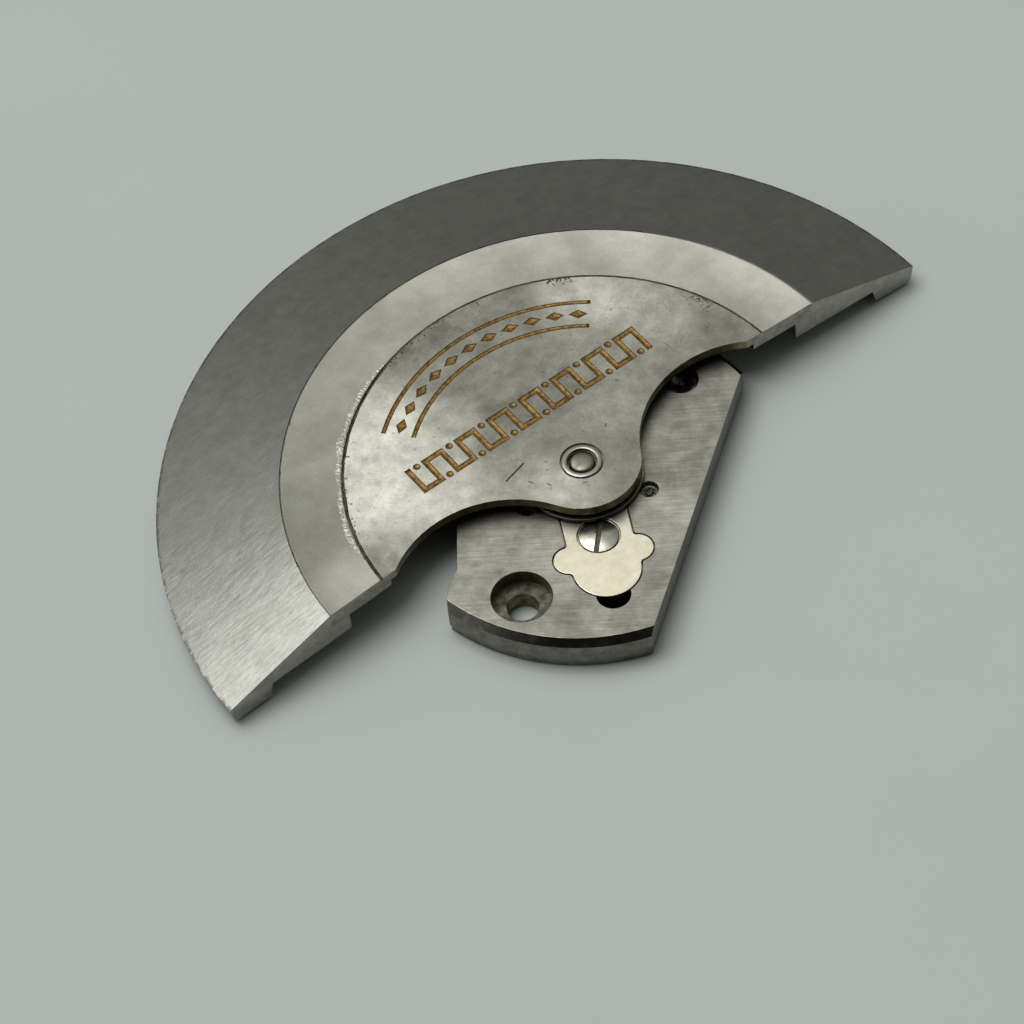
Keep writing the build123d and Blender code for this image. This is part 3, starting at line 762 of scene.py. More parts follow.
# Mesh helpers

def link_object(name: str, mesh: bpy.types.Mesh) -> bpy.types.Object:
    """Puts a mesh in the scene as an object.

    Args:
        name: the piece's name.
        mesh: its mesh.

    Returns:
        The new object.
    """
    piece = bpy.data.objects.new(name, mesh)
    bpy.context.scene.collection.objects.link(piece)
    return piece


def mesh_object(name: str, vertices: Iterable[Sequence[float]], faces: Iterable[Sequence[int]],
                finish: Finish) -> bpy.types.Object:
    """Makes a smooth-shaded object from points in millimetres.

    Args:
        name: the piece's name.
        vertices: points in millimetres.
        faces: vertex numbers of each face.
        finish: the piece's finish.

    Returns:
        The new object.
    """
    mesh = bpy.data.meshes.new(name)
    mesh.from_pydata(list(vertices), [], list(faces))
    mesh.validate()
    mesh.polygons.foreach_set("use_smooth", [True] * len(mesh.polygons))
    mesh.materials.append(finish.material())
    return link_object(name, mesh)


def soften(piece: bpy.types.Object, width: float, angle: float = 32.0, segments: int = 2) -> None:
    """Rounds the piece's sharp edges and keeps its flats flat.

    Args:
        piece: the object, in millimetres.
        width: the rounding's width in millimetres.
        angle: edges sharper than this many degrees are rounded.
        segments: faces across each rounding.
    """
    bevel = piece.modifiers.new("worn_edges", "BEVEL")
    bevel.width = width
    bevel.segments = segments
    bevel.limit_method = "ANGLE"
    bevel.angle_limit = math.radians(angle)
    piece.modifiers.new("flats_stay_flat", "WEIGHTED_NORMAL")


def softened_copy(node: str, name: str, width: float, finish: Finish) -> bpy.types.Object:
    """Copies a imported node's surface in millimetres, with its joins closed and its edges rounded.

    Args:
        node: the node's name.
        name: the new piece's name.
        width: the rounding's width in millimetres.
        finish: the piece's finish.

    Returns:
        The piece that stands for the node.
    """
    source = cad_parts[node].data
    piece = mesh_object(name, [vertex.co / MM for vertex in source.vertices],
                        [list(face.vertices) for face in source.polygons], finish)
    work = bmesh.new()
    work.from_mesh(piece.data)
    bmesh.ops.remove_doubles(work, verts=work.verts, dist=SAME_POINT)
    bmesh.ops.dissolve_limit(work, angle_limit=math.radians(SAME_FACE_ANGLE), verts=work.verts,
                             edges=work.edges)
    work.to_mesh(piece.data)
    work.free()
    soften(piece, width)
    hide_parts(node)
    return piece


def refinish(piece: bpy.types.Object, finish: Finish, chosen: Callable[[list[Vector], Vector], bool]) -> None:
    """Gives some of a piece's faces another finish.

    Args:
        piece: the object, in millimetres.
        finish: the other finish.
        chosen: tells from a face's corners and normal whether it takes that finish.
    """
    piece.data.materials.append(finish.material())
    for face in piece.data.polygons:
        corners = [piece.data.vertices[index].co for index in face.vertices]
        if chosen(corners, face.normal):
            face.material_index = len(piece.data.materials) - 1


def lathe(name: str, profile: Sequence[Point2], centre: Point2, finish: Finish, closed: bool = False,
          steps: int = 64) -> bpy.types.Object:
    """Turns a profile about a vertical axis.

    Args:
        name: the piece's name.
        profile: radius and height of each point, in millimetres, from the top outward and down.
        centre: the axis's place.
        finish: the piece's finish.
        closed: whether the profile's last point joins its first, as in a ring.
        steps: faces round the axis.

    Returns:
        The turned object.
    """
    vertices: list[Point3] = []
    rows: list[list[int]] = []
    for radius, height in profile:
        count = steps if radius else 1
        rows.append(list(range(len(vertices), len(vertices) + count)))
        for index in range(count):
            turn = math.tau * index / steps
            vertices.append((centre[0] + radius * math.cos(turn), centre[1] + radius * math.sin(turn),
                             height))
    faces = []
    for upper, lower in zip(rows, rows[1:] + rows[:1] if closed else rows[1:]):
        for index in range(steps):
            after = (index + 1) % steps
            corners = [upper[index % len(upper)], lower[index % len(lower)], lower[after % len(lower)],
                       upper[after % len(upper)]]
            faces.append(list(dict.fromkeys(corners)))
    return mesh_object(name, vertices, faces, finish)


def join(name: str, pieces: Sequence[bpy.types.Object]) -> bpy.types.Object:
    """Joins several objects that share a finish into one.

    Args:
        name: the joined piece's name.
        pieces: the objects, which are used up.

    Returns:
        The joined piece.
    """
    if len(pieces) > 1:
        with bpy.context.temp_override(active_object=pieces[0], selected_editable_objects=list(pieces)):
            bpy.ops.object.join()
    pieces[0].name = name
    return pieces[0]


def settle(piece: bpy.types.Object, body: Body, slot: str, *nodes: str) -> None:
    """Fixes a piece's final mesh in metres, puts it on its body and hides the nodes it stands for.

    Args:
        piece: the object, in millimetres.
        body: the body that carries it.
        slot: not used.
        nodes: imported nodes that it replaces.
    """
    bpy.context.view_layer.update()
    graph = bpy.context.evaluated_depsgraph_get()
    final = bpy.data.meshes.new_from_object(piece.evaluated_get(graph), preserve_all_data_layers=True,
                                            depsgraph=graph)
    piece.modifiers.clear()
    piece.data = final
    final.transform(Matrix.Scale(MM, 4))
    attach(piece, body.value)
    if nodes:
        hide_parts(*nodes)
    log.info("%s rides on %s", piece.name, body.value)


def dress(finish: Finish, *nodes: str) -> None:
    """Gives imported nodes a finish.

    Args:
        finish: the finish.
        nodes: the nodes' names.
    """
    for node in nodes:
        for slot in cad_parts[node].material_slots:
            slot.material = finish.material()
        log.info("%s has %s", node, finish.name)


def on_the_way(start: Point2, stop: Point2, step: int, steps: int) -> Point2:
    """Finds a point on a straight line.

    Args:
        start: the line's first point.
        stop: its last point.
        step: how many steps lie before the point.
        steps: how many steps the line has.

    Returns:
        The point.
    """
    return start[0] + (stop[0] - start[0]) * step / steps, start[1] + (stop[1] - start[1]) * step / steps


# Sub-assemblies

@dataclass
class Inlay:
    """Gilt lacquer in the web's cuts: two arcs, a row of lozenges and a square fret with dots.

    A section is given by its points' shares of the way, from the middle to either wall of a stroke, and from
    the wall to the middle of a drop. The painted shade along the wall is the outer share of that way.
    """

    surface: float = 1.9
    cut_floor: float = 1.84
    edge_sink: float = 0.006
    middle_sink: float = 0.03
    arc_radii: tuple[float, float] = (5.42, 6.4)
    arc_width: float = 0.15
    half_angle: float = 40.0
    lozenges: int = 11
    lozenge_length: float = 0.62
    lozenge_width: float = 0.36
    fret_y: float = 2.7
    fret_length: float = 8.8
    fret_height: float = 1.1
    fret_stroke: float = 0.2
    fret_steps: int = 14
    dot_radius: float = 0.12
    stroke_section: tuple[float, ...] = (-1.0, -0.8, -0.45, 0.0, 0.45, 0.8, 1.0)
    stroke_dark_edge: float = 0.45
    drop_section: tuple[float, ...] = (0.0, 0.0, 0.2, 0.55, 0.85)
    drop_dark_edge: float = 0.4
    refined_step: float = 0.12
    lumps_per_mm: float = 5.0
    lump_height: float = 0.007

    @property
    def fret_step(self) -> float:
        """Distance between the fret's uprights."""
        return self.fret_length / self.fret_steps

    @property
    def fret_rail(self) -> float:
        """Distance of the fret's rails from its middle."""
        return (self.fret_height - self.fret_stroke) / 2

    def build(self) -> None:
        """Builds every stroke and hides the plain fill."""
        strokes = [self.stroke("arc", self.arc_path(radius), self.arc_width) for radius in self.arc_radii]
        strokes.append(self.stroke("fret", self.fret_path(), self.fret_stroke))
        middle = sum(self.arc_radii) / 2
        for index in range(self.lozenges):
            turn = math.radians(-self.half_angle + (index + 1 / 2) * 2 * self.half_angle / self.lozenges)
            strokes.append(self.drop(self.lozenge_outline(), (0.0, middle), turn))
        for index in range(self.fret_steps):
            side = 1 if index % 2 else -1
            place = (-self.fret_length / 2 + (index + 1 / 2) * self.fret_step,
                     self.fret_y - side * self.fret_rail)
            strokes.append(self.drop(self.dot_outline(), place, 0.0))
        settle(join("gilt_inlay", strokes), Body.ROTOR, "gilt_fill", "ornament_fill")

    def arc_path(self, radius: float) -> list[Point2]:
        """Lists the middle line of an arc about the rotor's axis, with its middle on +Y.

        Args:
            radius: the arc's radius.

        Returns:
            The line's points.
        """
        count = 72
        turns = [math.radians(90 - self.half_angle + 2 * self.half_angle * index / count)
                 for index in range(count + 1)]
        return [(radius * math.cos(turn), radius * math.sin(turn)) for turn in turns]

    def fret_path(self) -> list[Point2]:
        """Lists the middle line of the fret, one stroke that turns square corners.

        Returns:
            The line's points.
        """
        low, high = self.fret_y - self.fret_rail, self.fret_y + self.fret_rail
        end = self.fret_stroke / 2
        path = [(-self.fret_length / 2, high + end)]
        for index in range(self.fret_steps + 1):
            x = -self.fret_length / 2 + index * self.fret_step
            start, stop = (high, low) if index % 2 == 0 else (low, high)
            if index:
                path.append((x, start))
            if index < self.fret_steps:
                path.append((x, stop))
            else:
                path.append((x, stop - end if stop == low else stop + end))
        return path

    def lozenge_outline(self) -> list[Point2]:
        """Lists the outline of one lozenge, long along X.

        Returns:
            The outline's points.
        """
        parts = 4
        length, width = self.lozenge_length / 2, self.lozenge_width / 2
        corners = [(length, 0.0), (0.0, width), (-length, 0.0), (0.0, -width)]
        outline = []
        for start, stop in zip(corners, corners[1:] + corners[:1]):
            outline += [on_the_way(start, stop, part, parts) for part in range(parts)]
        return outline

    def dot_outline(self) -> list[Point2]:
        """Lists the outline of one dot.

        Returns:
            The outline's points.
        """
        count = 20
        turns = [math.tau * index / count for index in range(count)]
        return [(self.dot_radius * math.cos(turn), self.dot_radius * math.sin(turn)) for turn in turns]

    def level(self, x: float, y: float, share: float) -> float:
        """Finds the height of the lacquer, lowest in the middle of a stroke and a little uneven.

        Args:
            x: place along X.
            y: place along Y.
            share: zero at the wall, one in the middle.

        Returns:
            The height in millimetres.
        """
        lump = noise.noise(Vector((x, y, 0.0)) * self.lumps_per_mm) * self.lump_height * share
        sink = (self.middle_sink - self.edge_sink) * math.sin(share * math.pi / 2)
        return self.surface - self.edge_sink - sink + lump

    def stroke(self, name: str, path: Sequence[Point2], width: float) -> bpy.types.Object:
        """Sweeps the sunken section of the lacquer along a line with mitred corners.

        Args:
            name: the stroke's name.
            path: its middle line.
            width: its width.

        Returns:
            The stroke.
        """
        points = self.refined(path)
        vertices: list[Point3] = []
        walls: list[float] = []
        for index, point in enumerate(points):
            before = Vector(point) - Vector(points[index - 1]) if index else None
            after = Vector(points[index + 1]) - Vector(point) if index + 1 < len(points) else None
            first = (before or after).normalized()
            second = (after or before).normalized()
            normals = [Vector((-way.y, way.x)) for way in (first, second)]
            mitre = (normals[0] + normals[1]) / (1 + normals[0].dot(normals[1]))
            for share in self.stroke_section:
                place = Vector(point) + mitre * share * width / 2
                vertices.append((place.x, place.y, self.level(place.x, place.y, 1 - abs(share))))
                walls.append(max(0.0, (abs(share) - (1 - self.stroke_dark_edge)) / self.stroke_dark_edge))
            for side in (-1.0, 1.0):
                place = Vector(point) + mitre * side * width / 2
                vertices.append((place.x, place.y, self.cut_floor))
                walls.append(1.0)
        top = len(self.stroke_section)
        row = top + 2
        faces = []
        for index in range(len(points) - 1):
            near, far = index * row, (index + 1) * row
            faces += [(near + k, near + k + 1, far + k + 1, far + k) for k in range(top - 1)]
            faces.append((near + top, near, far, far + top))
            faces.append((near + top - 1, near + top + 1, far + top + 1, far + top - 1))
            faces.append((near + top + 1, near + top, far + top, far + top + 1))
        last = (len(points) - 1) * row
        faces.append([top] + [top + 1] + list(range(top - 1, -1, -1)))
        faces.append([last + k for k in range(top)] + [last + top + 1, last + top])
        return self.with_walls(mesh_object(name, vertices, faces, GILT_INLAY), walls)

    def refined(self, path: Sequence[Point2]) -> list[Point2]:
        """Adds points to a line so that its surface can be uneven along its length.

        Args:
            path: the line's points.

        Returns:
            The points with the added ones.
        """
        points = [path[0]]
        for start, stop in zip(path, path[1:]):
            count = max(1, round(math.dist(start, stop) / self.refined_step))
            points += [on_the_way(start, stop, index, count) for index in range(1, count + 1)]
        return points

    def drop(self, outline: Sequence[Point2], centre: Point2, turn: float) -> bpy.types.Object:
        """Fills a closed outline with a dished drop of lacquer.

        Args:
            outline: the outline about its own middle.
            centre: the middle's place before the turn.
            turn: turn about the rotor's axis in radians.

        Returns:
            The drop.
        """
        spin = Matrix.Rotation(turn, 2)
        vertices: list[Point3] = []
        walls: list[float] = []
        for row, share in enumerate(self.drop_section):
            for x, y in outline:
                place = spin @ Vector((centre[0] + x * (1 - share), centre[1] + y * (1 - share)))
                height = self.level(place.x, place.y, share) if row else self.cut_floor
                vertices.append((place.x, place.y, height))
                walls.append(max(0.0, 1 - share / self.drop_dark_edge))
        middle = spin @ Vector(centre)
        vertices.append((middle.x, middle.y, self.level(middle.x, middle.y, 1.0)))
        walls.append(0.0)
        count = len(outline)
        last = (len(self.drop_section) - 1) * count
        faces = [list(range(count - 1, -1, -1))]
        for low in range(0, last, count):
            high = low + count
            faces += [(low + k, low + (k + 1) % count, high + (k + 1) % count, high + k)
                      for k in range(count)]
        faces += [(last + k, last + (k + 1) % count, len(vertices) - 1) for k in range(count)]
        return self.with_walls(mesh_object("drop", vertices, faces, GILT_INLAY), walls)

    def with_walls(self, piece: bpy.types.Object, walls: Sequence[float]) -> bpy.types.Object:
        """Stores how near each point is to the cut's wall, for the painted shade along the lacquer's edge.

        Args:
            piece: the lacquer.
            walls: one at the wall and zero away from it, for each point.

        Returns:
            The same piece.
        """
        layer = piece.data.attributes.new("wall", "FLOAT", "POINT")
        layer.data.foreach_set("value", walls)
        return piece


@dataclass
class Burr:
    """Crumbled metal raised along the outside of the groove where a graver slipped.

    The band thins out towards its ends and its sides, steeper with a larger taper. Its section is given by
    its points' shares of its width.
    """

    name: str
    start_angle: float
    end_angle: float
    width: float
    rise: float
    surface: float = 1.9
    groove_edge: float = 7.527
    step: float = 0.02
    sink: float = 0.002
    crumb: float = 0.07
    drift: float = 0.9
    fullness: float = 0.25
    section: tuple[float, ...] = (0.0, 0.12, 0.25, 0.4, 0.55, 0.7, 0.85, 1.0)
    end_taper: float = 6.0
    inner_taper: float = 6.0
    outer_taper: float = 2.0
    least_width: float = 0.2
    least_rise: float = 0.3
    drift_swing: float = 0.9
    ragged_swing: float = 0.5
    crumb_octaves: int = 2

    def build(self) -> None:
        """Raises a ragged band of crumbs."""
        arc = math.radians(self.end_angle - self.start_angle) * self.groove_edge
        count = round(arc / self.step)
        vertices: list[Point3] = []
        for index in range(count + 1):
            share = index / count
            turn = math.radians(self.start_angle + (self.end_angle - self.start_angle) * share)
            crowd = min(1.0, self.end_taper * share, self.end_taper * (1 - share))
            slow = noise.noise(Vector((index * self.step / self.drift, self.start_angle, 0.0)))
            ragged = noise.noise(Vector((index * self.step / (2 * self.crumb), 0.0, self.start_angle)))
            swelled = self.least_width + crowd * (1 - self.least_width + self.drift_swing * slow)
            width = self.width * swelled * (1 + self.ragged_swing * ragged)
            for outward in self.section:
                radius = self.groove_edge + width * outward
                place = Vector((radius * math.cos(turn), radius * math.sin(turn), 0.0))
                crumbs = self.fullness + noise.fractal(place / self.crumb, 1.0, 2.0, self.crumb_octaves)
                edge = min(1.0, self.inner_taper * outward, self.outer_taper * (1 - outward))
                lift = self.least_rise + (1 - self.least_rise) * crowd
                height = self.rise * max(0.0, crumbs) * edge * lift - self.sink
                vertices.append((place.x, place.y, self.surface + height))
        row = len(self.section)
        faces: list[Sequence[int]] = []
        for index in range(count):
            near, far = row * index, row * (index + 1)
            faces += [(near + k, near + k + 1, far + k + 1, far + k) for k in range(row - 1)]
            faces.append((near + row - 1, near, far, far + row - 1))
        faces += [tuple(range(row - 1, -1, -1)), tuple(range(row * count, row * count + row))]
        settle(mesh_object(self.name, vertices, faces, TORN_NICKEL), Body.ROTOR, "nickel_web")


@dataclass
class Hub:
    """The bush in the web and the axle: domed end, shoulder, collar, journal and lower pivot.

    The crown is given as reach from the bush's hole and height over its top, the axle as radius and height.
    """

    bush_inner: float = 0.475
    bush_radius: float = 0.7
    bush_top: float = 1.9
    web_bottom: float = 1.57
    edge_wear: float = 0.015
    crown: tuple[Point2, ...] = (
        (0.0, 0.004), (0.02, 0.014), (0.06, 0.019), (0.115, 0.016), (0.15, 0.008), (0.17, -0.004),
        (0.172, -0.12))
    domed_end: tuple[Point2, ...] = (
        (0.0, 1.908), (0.12, 1.906), (0.22, 1.9), (0.3, 1.888), (0.35, 1.872), (0.385, 1.848), (0.402, 1.815),
        (0.41, 1.72), (0.474, 1.72))
    collar: tuple[Point2, ...] = ((1.45, 1.39), (1.92, 1.39), (1.92, 1.27), (0.85, 1.27))
    journal_and_pivot: tuple[Point2, ...] = (
        (0.85, 1.02), (1.07, 1.02), (1.07, 0.78), (0.6, 0.78), (0.6, 0.6), (0.2, 0.6), (0.2, 0.3),
        (0.15, 0.3), (0.15, 0.1), (0.0, 0.1))

    def build(self) -> None:
        """Turns both pieces."""
        profile = [(self.bush_inner + reach, self.bush_top + height) for reach, height in self.crown]
        profile += [(self.bush_radius, profile[-1][1]), (self.bush_radius, self.web_bottom),
                    (self.bush_inner, self.web_bottom)]
        bush = lathe("turned_bush", profile, (0.0, 0.0), NICKEL_BUSH, closed=True, steps=96)
        soften(bush, self.edge_wear / 3)
        settle(bush, Body.ROTOR, "polished_steel", "hub_bush")
        axle = lathe("domed_axle", self.axle_profile(), (0.0, 0.0), AXLE_STEEL, steps=96)
        soften(axle, self.edge_wear)
        settle(axle, Body.ROTOR, "polished_steel", "rotor_axle")

    def axle_profile(self) -> list[Point2]:
        """Lists the axle's profile, from its worn dome to its lower pivot.

        Returns:
            Radius and height of each point.
        """
        shoulder = ((self.domed_end[-1][0], self.web_bottom), (self.collar[0][0], self.web_bottom))
        return [*self.domed_end, *shoulder, *self.collar, *self.journal_and_pivot]


@dataclass
class Rotor:
    """The half disc: heavy rim, web with its flange, hub, gear and the lacquered ornament."""

    flange_inner: float = 7.3
    groove_radius: float = 7.49
    groove_reach: float = 0.05
    groove_bottom: float = 1.84
    groove_open: float = 1.889
    groove_clean_x: float = -2.6
    groove_torn: float = 0.035
    tears_per_mm: float = 2.0
    web_top: float = 1.9
    rim_wear: float = 0.022
    web_wear: float = 0.016

    def build(self) -> None:
        """Dresses the rotor's nodes and adds its worn details."""
        settle(softened_copy("rotor_rim", "heavy_rim", self.rim_wear, HEAVY_ALLOY), Body.ROTOR, "heavy_rim")
        web = softened_copy("rotor_web", "nickel_web", self.web_wear, NICKEL_WEB)
        refinish(web, NICKEL_RING, self.on_ring)
        refinish(web, GROOVE_DIRT_AND_SHADE, self.in_groove)
        self.wear_groove(web)
        settle(web, Body.ROTOR, "nickel_web")
        dress(TRAIN_STEEL, "rotor_gear")
        Hub().build()
        Inlay().build()
        Burr("groove_burr", start_angle=104.0, end_angle=176.0, width=0.19, rise=0.03).build()
        Burr("groove_lip", start_angle=6.0, end_angle=44.0, width=0.04, rise=0.012).build()

    def on_ring(self, corners: list[Vector], normal: Vector) -> bool:
        """Tells whether a face of the web belongs to the flange outside the groove.

        Args:
            corners: the face's corners.
            normal: its normal.

        Returns:
            Whether it does.
        """
        if abs(normal.z) > STEEP_BELOW:
            return all(corner.xy.length > self.groove_radius for corner in corners)
        return (sum(corners, Vector()) / len(corners)).xy.length > self.flange_inner

    def in_groove(self, corners: list[Vector], normal: Vector) -> bool:
        """Tells whether a face of the web belongs to the groove.

        Args:
            corners: the face's corners.
            normal: its normal.

        Returns:
            Whether it does.
        """
        deep = any(corner.z < self.web_top - self.groove_reach / 2 for corner in corners)
        return deep and all(abs(corner.xy.length - self.groove_radius) < self.groove_reach
                            and corner.z > self.groove_bottom - self.groove_reach / 2 for corner in corners)

    def wear_groove(self, web: bpy.types.Object) -> None:
        """Widens the groove's left end as the slipped graver did, and fills the rest up with packed dirt.

        Args:
            web: the web, in millimetres.
        """
        for vertex in web.data.vertices:
            reach = vertex.co.xy.length - self.groove_radius
            if abs(reach) > self.groove_reach or vertex.co.z < self.groove_bottom - self.groove_reach / 2:
                continue
            if vertex.co.x < self.groove_clean_x:
                wander = noise.noise(vertex.co * self.tears_per_mm)
                if reach < 0:
                    vertex.co.xy *= 1 - self.groove_torn * (1 + wander) / self.groove_radius
            elif vertex.co.z < self.groove_open:
                vertex.co.z = self.groove_open


@dataclass
class LockGroup:
    """The lock plate and its domed, slotted screw."""

    screw_place: Point2 = (-1.0703, -2.1704)
    head_radius: float = 0.64
    head_top: float = 1.24
    head_bottom: float = 1.11
    shank_radius: float = 0.32
    shank_bottom: float = 0.56
    crown: float = 0.075
    edge_drop: float = 0.105
    slot_width: float = 0.16
    slot_depth: float = 0.11
    slot_angle: float = 44.75
    edge_wear: float = 0.02

    def build(self) -> None:
        """Builds the plate and the screw."""
        plate = softened_copy("lock_plate", "mirror_lock_plate", self.edge_wear, LOCK_MIRROR)
        settle(plate, Body.BRIDGE, "lock_polish")
        settle(self.screw(), Body.BRIDGE, "polished_steel", "lock_screw")

    def screw(self) -> bpy.types.Object:
        """Turns the screw with its crown and cuts the slot.

        Returns:
            The screw.
        """
        rings = 8
        flat = self.head_radius - self.crown / 3
        profile = [(flat * index / rings, self.head_top - self.crown * (index / rings) ** 2)
                   for index in range(rings + 1)]
        profile += [(self.head_radius, self.head_top - self.edge_drop), (self.head_radius, self.head_bottom),
                    (self.shank_radius, self.head_bottom), (self.shank_radius, self.shank_bottom),
                    (0.0, self.shank_bottom)]
        screw = lathe("domed_lock_screw", profile, self.screw_place, POLISHED_STEEL, steps=96)
        self.cut_slot(screw)
        refinish(screw, OILED_SHADED_WALL, self.in_slot)
        soften(screw, self.edge_wear / 2)
        return screw

    def in_slot(self, corners: list[Vector], normal: Vector) -> bool:
        """Tells whether a face is the floor of the slot, where dirt gathers and shade is painted.

        Args:
            corners: the face's corners.
            normal: its normal.

        Returns:
            Whether it is.
        """
        floor = self.head_top - self.slot_depth
        near = self.edge_wear / 4
        return normal.z > STEEP_BELOW and all(abs(corner.z - floor) < near for corner in corners)

    def cut_slot(self, screw: bpy.types.Object) -> None:
        """Cuts the driver's slot across the head.

        Args:
            screw: the turned screw, in millimetres.
        """
        work = bmesh.new()
        bmesh.ops.create_cube(work, size=1.0)
        cutter_mesh = bpy.data.meshes.new("slot_cutter")
        work.to_mesh(cutter_mesh)
        work.free()
        cutter = link_object("slot_cutter", cutter_mesh)
        cutter.scale = (3 * self.head_radius, self.slot_width, 2 * self.slot_depth)
        cutter.rotation_euler = (0.0, 0.0, math.radians(self.slot_angle))
        cutter.location = Vector((*self.screw_place, self.head_top))
        carve = screw.modifiers.new("slot", "BOOLEAN")
        carve.operation = "DIFFERENCE"
        carve.solver = "EXACT"
        carve.object = cutter
        bpy.context.view_layer.update()
        carved = bpy.data.meshes.new_from_object(screw.evaluated_get(bpy.context.evaluated_depsgraph_get()))
        screw.modifiers.remove(carve)
        screw.data = carved
        bpy.data.objects.remove(cutter)


@dataclass
class Jewels:
    """Top stones with an oil sink round each pivot.

    The bevel, the sink's radius and its depth are shares of a stone's radius. The sink's section is given by
    its points' shares of the way from the pivot hole to the sink's rim.
    """

    bottom: float = 0.86
    top: float = 1.04
    hole_radius: float = 0.1
    small_radius: float = 0.31
    drive_radius: float = 0.56
    reversers: tuple[Point2, ...] = ((-2.1479, 0.0957), (1.21, -1.7772))
    train: tuple[Point2, ...] = ((-0.6168, 1.812), (2.4941, 0.711))
    drive: tuple[Point2, ...] = ((4.6764, 0.9897),)
    bevel_share: float = 0.12
    sink_share: float = 0.62
    depth_share: float = 0.3
    sink_section: tuple[float, ...] = (0.35, 0.65, 0.88, 1.0)

    def build(self) -> None:
        """Turns the stones and puts them in place of the plain rings."""
        groups = (("reverser_stones", self.reversers, self.small_radius, OILED_RUBY, "reverser_top_jewels"),
                  ("train_stones", self.train, self.small_radius, OILED_RUBY, "train_top_jewels"),
                  ("drive_stone", self.drive, self.drive_radius, CLEAN_RUBY, "drive_top_jewel"))
        for name, places, radius, finish, node in groups:
            stones = [self.stone(place, radius, finish) for place in places]
            settle(join(name, stones), Body.BRIDGE, "ruby", node)
        dress(CLEAN_RUBY, "rotor_foot_jewel", "reverser_foot_jewels", "train_foot_jewels")

    def stone(self, place: Point2, radius: float, finish: Finish) -> bpy.types.Object:
        """Turns one stone.

        Args:
            place: the pivot's place.
            radius: the stone's radius.
            finish: the stone's finish.

        Returns:
            The stone.
        """
        bevel = self.bevel_share * radius
        sink = self.sink_share * radius
        depth = self.depth_share * radius
        profile = [(self.hole_radius, self.bottom), (self.hole_radius, self.top - depth)]
        for share in self.sink_section:
            profile.append((self.hole_radius + (sink - self.hole_radius) * share,
                            self.top - depth * (1 - share ** 2)))
        profile += [(radius - bevel, self.top), (radius, self.top - bevel), (radius, self.bottom)]
        return lathe("stone", profile, place, finish, closed=True, steps=48)


@dataclass
class Bridge:
    """The two plates, their screws, pins and bearings.

    A hole is given by its place and its radius.
    """

    edge_wear: float = 0.03
    holes: tuple[tuple[float, float, float], ...] = (
        (-4.3071, -2.5018, 0.96), (1.0876, 4.9264, 0.96), (-2.0875, -4.2333, 0.54), (-2.1479, 0.0957, 0.31),
        (1.21, -1.7772, 0.31), (4.6764, 0.9897, 0.56))
    hole_margin: float = 0.03
    spot_face: float = 0.65

    def build(self) -> None:
        """Dresses the bridge."""
        upper = softened_copy("upper_bridge", "rubbed_upper_bridge", self.edge_wear, NICKEL_BRIDGE)
        refinish(upper, OILED_SHADED_WALL, self.in_hole)
        refinish(upper, CUT_NICKEL, self.fresh_cut)
        settle(upper, Body.BRIDGE, "nickel_bridge")
        lower = softened_copy("lower_bridge", "rubbed_lower_bridge", self.edge_wear, NICKEL_BRIDGE)
        refinish(lower, OILED_SHADED_WALL, self.in_hole)
        settle(lower, Body.BRIDGE, "nickel_bridge")
        dress(POLISHED_STEEL, "plate_screws")
        dress(TRAIN_STEEL, "steady_pins")
        dress(BEARING_BRONZE, "rotor_bearing", "drive_bush")
        LockGroup().build()
        Jewels().build()

    def in_hole(self, corners: list[Vector], normal: Vector) -> bool:
        """Tells whether a face is the wall of one of the holes, or the floor of a counterbore.

        Args:
            corners: the face's corners.
            normal: its normal.

        Returns:
            Whether it is.
        """
        not_wall = abs(normal.z) > STEEP_BELOW
        if not_wall and any(abs(corner.z - self.spot_face) > self.hole_margin for corner in corners):
            return False
        return any(all(math.dist(corner.xy, (x, y)) < radius + self.hole_margin for corner in corners)
                   for x, y, radius in self.holes)

    def fresh_cut(self, corners: list[Vector], normal: Vector) -> bool:
        """Tells whether a face is the milled chamfer."""
        return STEEP_BELOW < normal.z < LEVEL_ABOVE and all(corner.z > self.spot_face for corner in corners)


@dataclass
class WindingTrain:
    """Reversing wheels, idler, reduction and drive wheels between the plates."""

    brass_nodes: tuple[str, ...] = (
        "idler_wheel", "reduction_wheel", "drive_wheel", "reverser_a_input_wheel", "reverser_a_output_gear",
        "reverser_b_input_wheel", "reverser_b_output_gear")
    steel_nodes: tuple[str, ...] = (
        "idler_arbor", "reduction_pinion", "drive_pinion", "reverser_a_pawls", "reverser_b_pawls")
    oiled_nodes: tuple[str, ...] = ("reverser_a_arbor", "reverser_b_arbor")

    def build(self) -> None:
        """Dresses the wheels in gilt brass, the reversers' arbors in oiled metal and the rest in steel."""
        dress(TRAIN_BRASS, *self.brass_nodes)
        dress(TRAIN_STEEL, *self.steel_nodes)
        dress(OILED_SHADED_WALL, *self.oiled_nodes)


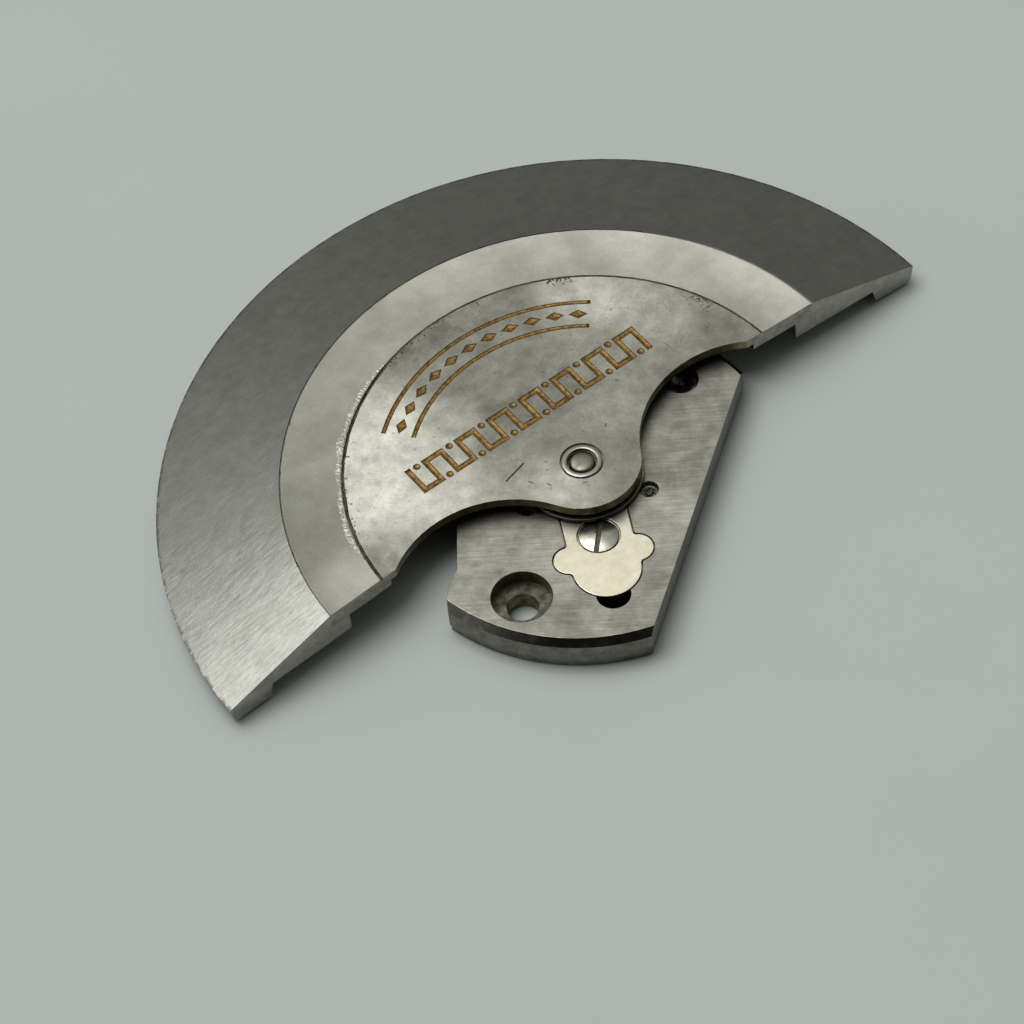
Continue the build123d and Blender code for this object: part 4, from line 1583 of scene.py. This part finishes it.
@dataclass
class Studio:
    """Pale card, a soft window above and behind, a room that is darkest behind the camera, and the camera.

    Lengths are in millimetres and angles in degrees. The limits are cosines of the angle to the middle of the
    window or of the dark side: from the first on, the room grows lighter or darker, and at the second it has
    grown as light or as dark as it gets.
    """

    card_size: float = 900.0
    card_drop: float = 0.02
    lens: float = 140.6
    sensor: float = 36.0
    azimuth: float = -31.153
    elevation: float = 53.0445
    roll: float = -7.2738
    distance: float = 124.725
    target: Point3 = (-2.428, 0.543, 0.78)
    window_azimuth: float = 116.0
    window_elevation: float = 70.0
    window_distance: float = 500.0
    window_size: float = 340.0
    window_radiance: float = 3.7
    dark_side_azimuth: float = 236.0
    dark_side_elevation: float = 38.0
    room_low: float = 0.26
    room_high: float = 0.78
    room_front: float = 0.05
    room_colour: str = "#fbfdf6"
    light_limits: Point2 = (0.5, 0.94)
    dark_limits: Point2 = (0.5, 0.95)
    view_end: float = 10000.0

    def build(self) -> None:
        """Builds the stage, the light and the camera."""
        half = self.card_size / 2
        card = mesh_object("card", [(-half, -half, -self.card_drop), (half, -half, -self.card_drop),
                                    (half, half, -self.card_drop), (-half, half, -self.card_drop)],
                           [(0, 1, 2, 3)], PALE_CARD)
        card.data.transform(Matrix.Scale(MM, 4))
        self.window()
        self.room()
        self.camera()
        bpy.context.scene.view_settings.view_transform = "Standard"

    def window_way(self) -> Vector:
        """Finds the direction from the part to the middle of the window."""
        return self.way(self.window_azimuth, self.window_elevation)

    def way(self, azimuth: float, elevation: float) -> Vector:
        """Finds the direction from the part at an azimuth and an elevation in degrees."""
        turn, rise = math.radians(azimuth), math.radians(elevation)
        return Vector((math.cos(turn) * math.cos(rise), math.sin(turn) * math.cos(rise), math.sin(rise)))

    def window(self) -> None:
        """Hangs the soft window."""
        way = self.window_way()
        light = bpy.data.lights.new("window", "AREA")
        light.shape = "SQUARE"
        light.size = self.window_size * MM
        light.energy = math.pi * light.size ** 2 * self.window_radiance
        lamp = bpy.data.objects.new("window", light)
        bpy.context.scene.collection.objects.link(lamp)
        lamp.location = way * self.window_distance * MM
        lamp.rotation_mode = "QUATERNION"
        lamp.rotation_quaternion = way.to_track_quat("Z", "Y")

    def room(self) -> None:
        """Lights the room round the window and leaves it dim low down and on the dark side."""
        world = bpy.data.worlds.new("room")
        bpy.context.scene.world = world
        world.use_nodes = True
        tree = world.node_tree
        tree.nodes.clear()
        way = add_node(tree, "TexCoord", output="Generated")
        nearness = add_node(tree, "VectorMath", {0: way, 1: self.window_way()}, "Value",
                            operation="DOT_PRODUCT")
        overhead = add_node(tree, "MapRange", {
            "Value": nearness, "From Min": self.light_limits[0], "From Max": self.light_limits[1],
            "To Min": self.room_low, "To Max": self.room_high}, interpolation_type="SMOOTHSTEP")
        dark_way = self.way(self.dark_side_azimuth, self.dark_side_elevation)
        towards = add_node(tree, "VectorMath", {0: way, 1: dark_way}, "Value", operation="DOT_PRODUCT")
        front = add_node(tree, "MapRange", {
            "Value": towards, "From Min": self.dark_limits[0], "From Max": self.dark_limits[1],
            "To Min": 1.0, "To Max": self.room_front}, interpolation_type="SMOOTHSTEP")
        strength = add_node(tree, "Math", {0: overhead, 1: front}, operation="MULTIPLY")
        background = add_node(tree, "Background", {"Color": srgb(self.room_colour), "Strength": strength})
        add_node(tree, "OutputWorld", {"Surface": background})

    def camera(self) -> None:
        """Places the camera and turns it about its own line of sight."""
        turn, rise = math.radians(self.azimuth), math.radians(self.elevation)
        back = Vector((math.sin(turn) * math.cos(rise), -math.cos(turn) * math.cos(rise), math.sin(rise)))
        level = Vector((math.cos(turn), math.sin(turn), 0.0))
        upward = back.cross(level)
        lean = math.radians(self.roll)
        right = level * math.cos(lean) + upward * math.sin(lean)
        up = upward * math.cos(lean) - level * math.sin(lean)
        lens = bpy.data.cameras.new("camera")
        lens.lens = self.lens
        lens.sensor_width = self.sensor
        lens.clip_start = MM
        lens.clip_end = self.view_end * MM
        camera = bpy.data.objects.new("camera", lens)
        bpy.context.scene.collection.objects.link(camera)
        bpy.context.scene.camera = camera
        camera.matrix_world = Matrix.Translation((Vector(self.target) + back * self.distance) * MM) @ Matrix(
            (right, up, back)).transposed().to_4x4()


def main() -> None:
    """Builds the stage and every sub-assembly in order."""
    logging.basicConfig(level=logging.INFO, format="%(message)s")
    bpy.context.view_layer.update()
    Studio().build()
    Bridge().build()
    WindingTrain().build()
    Rotor().build()


if __name__ == "__main__":
    main()
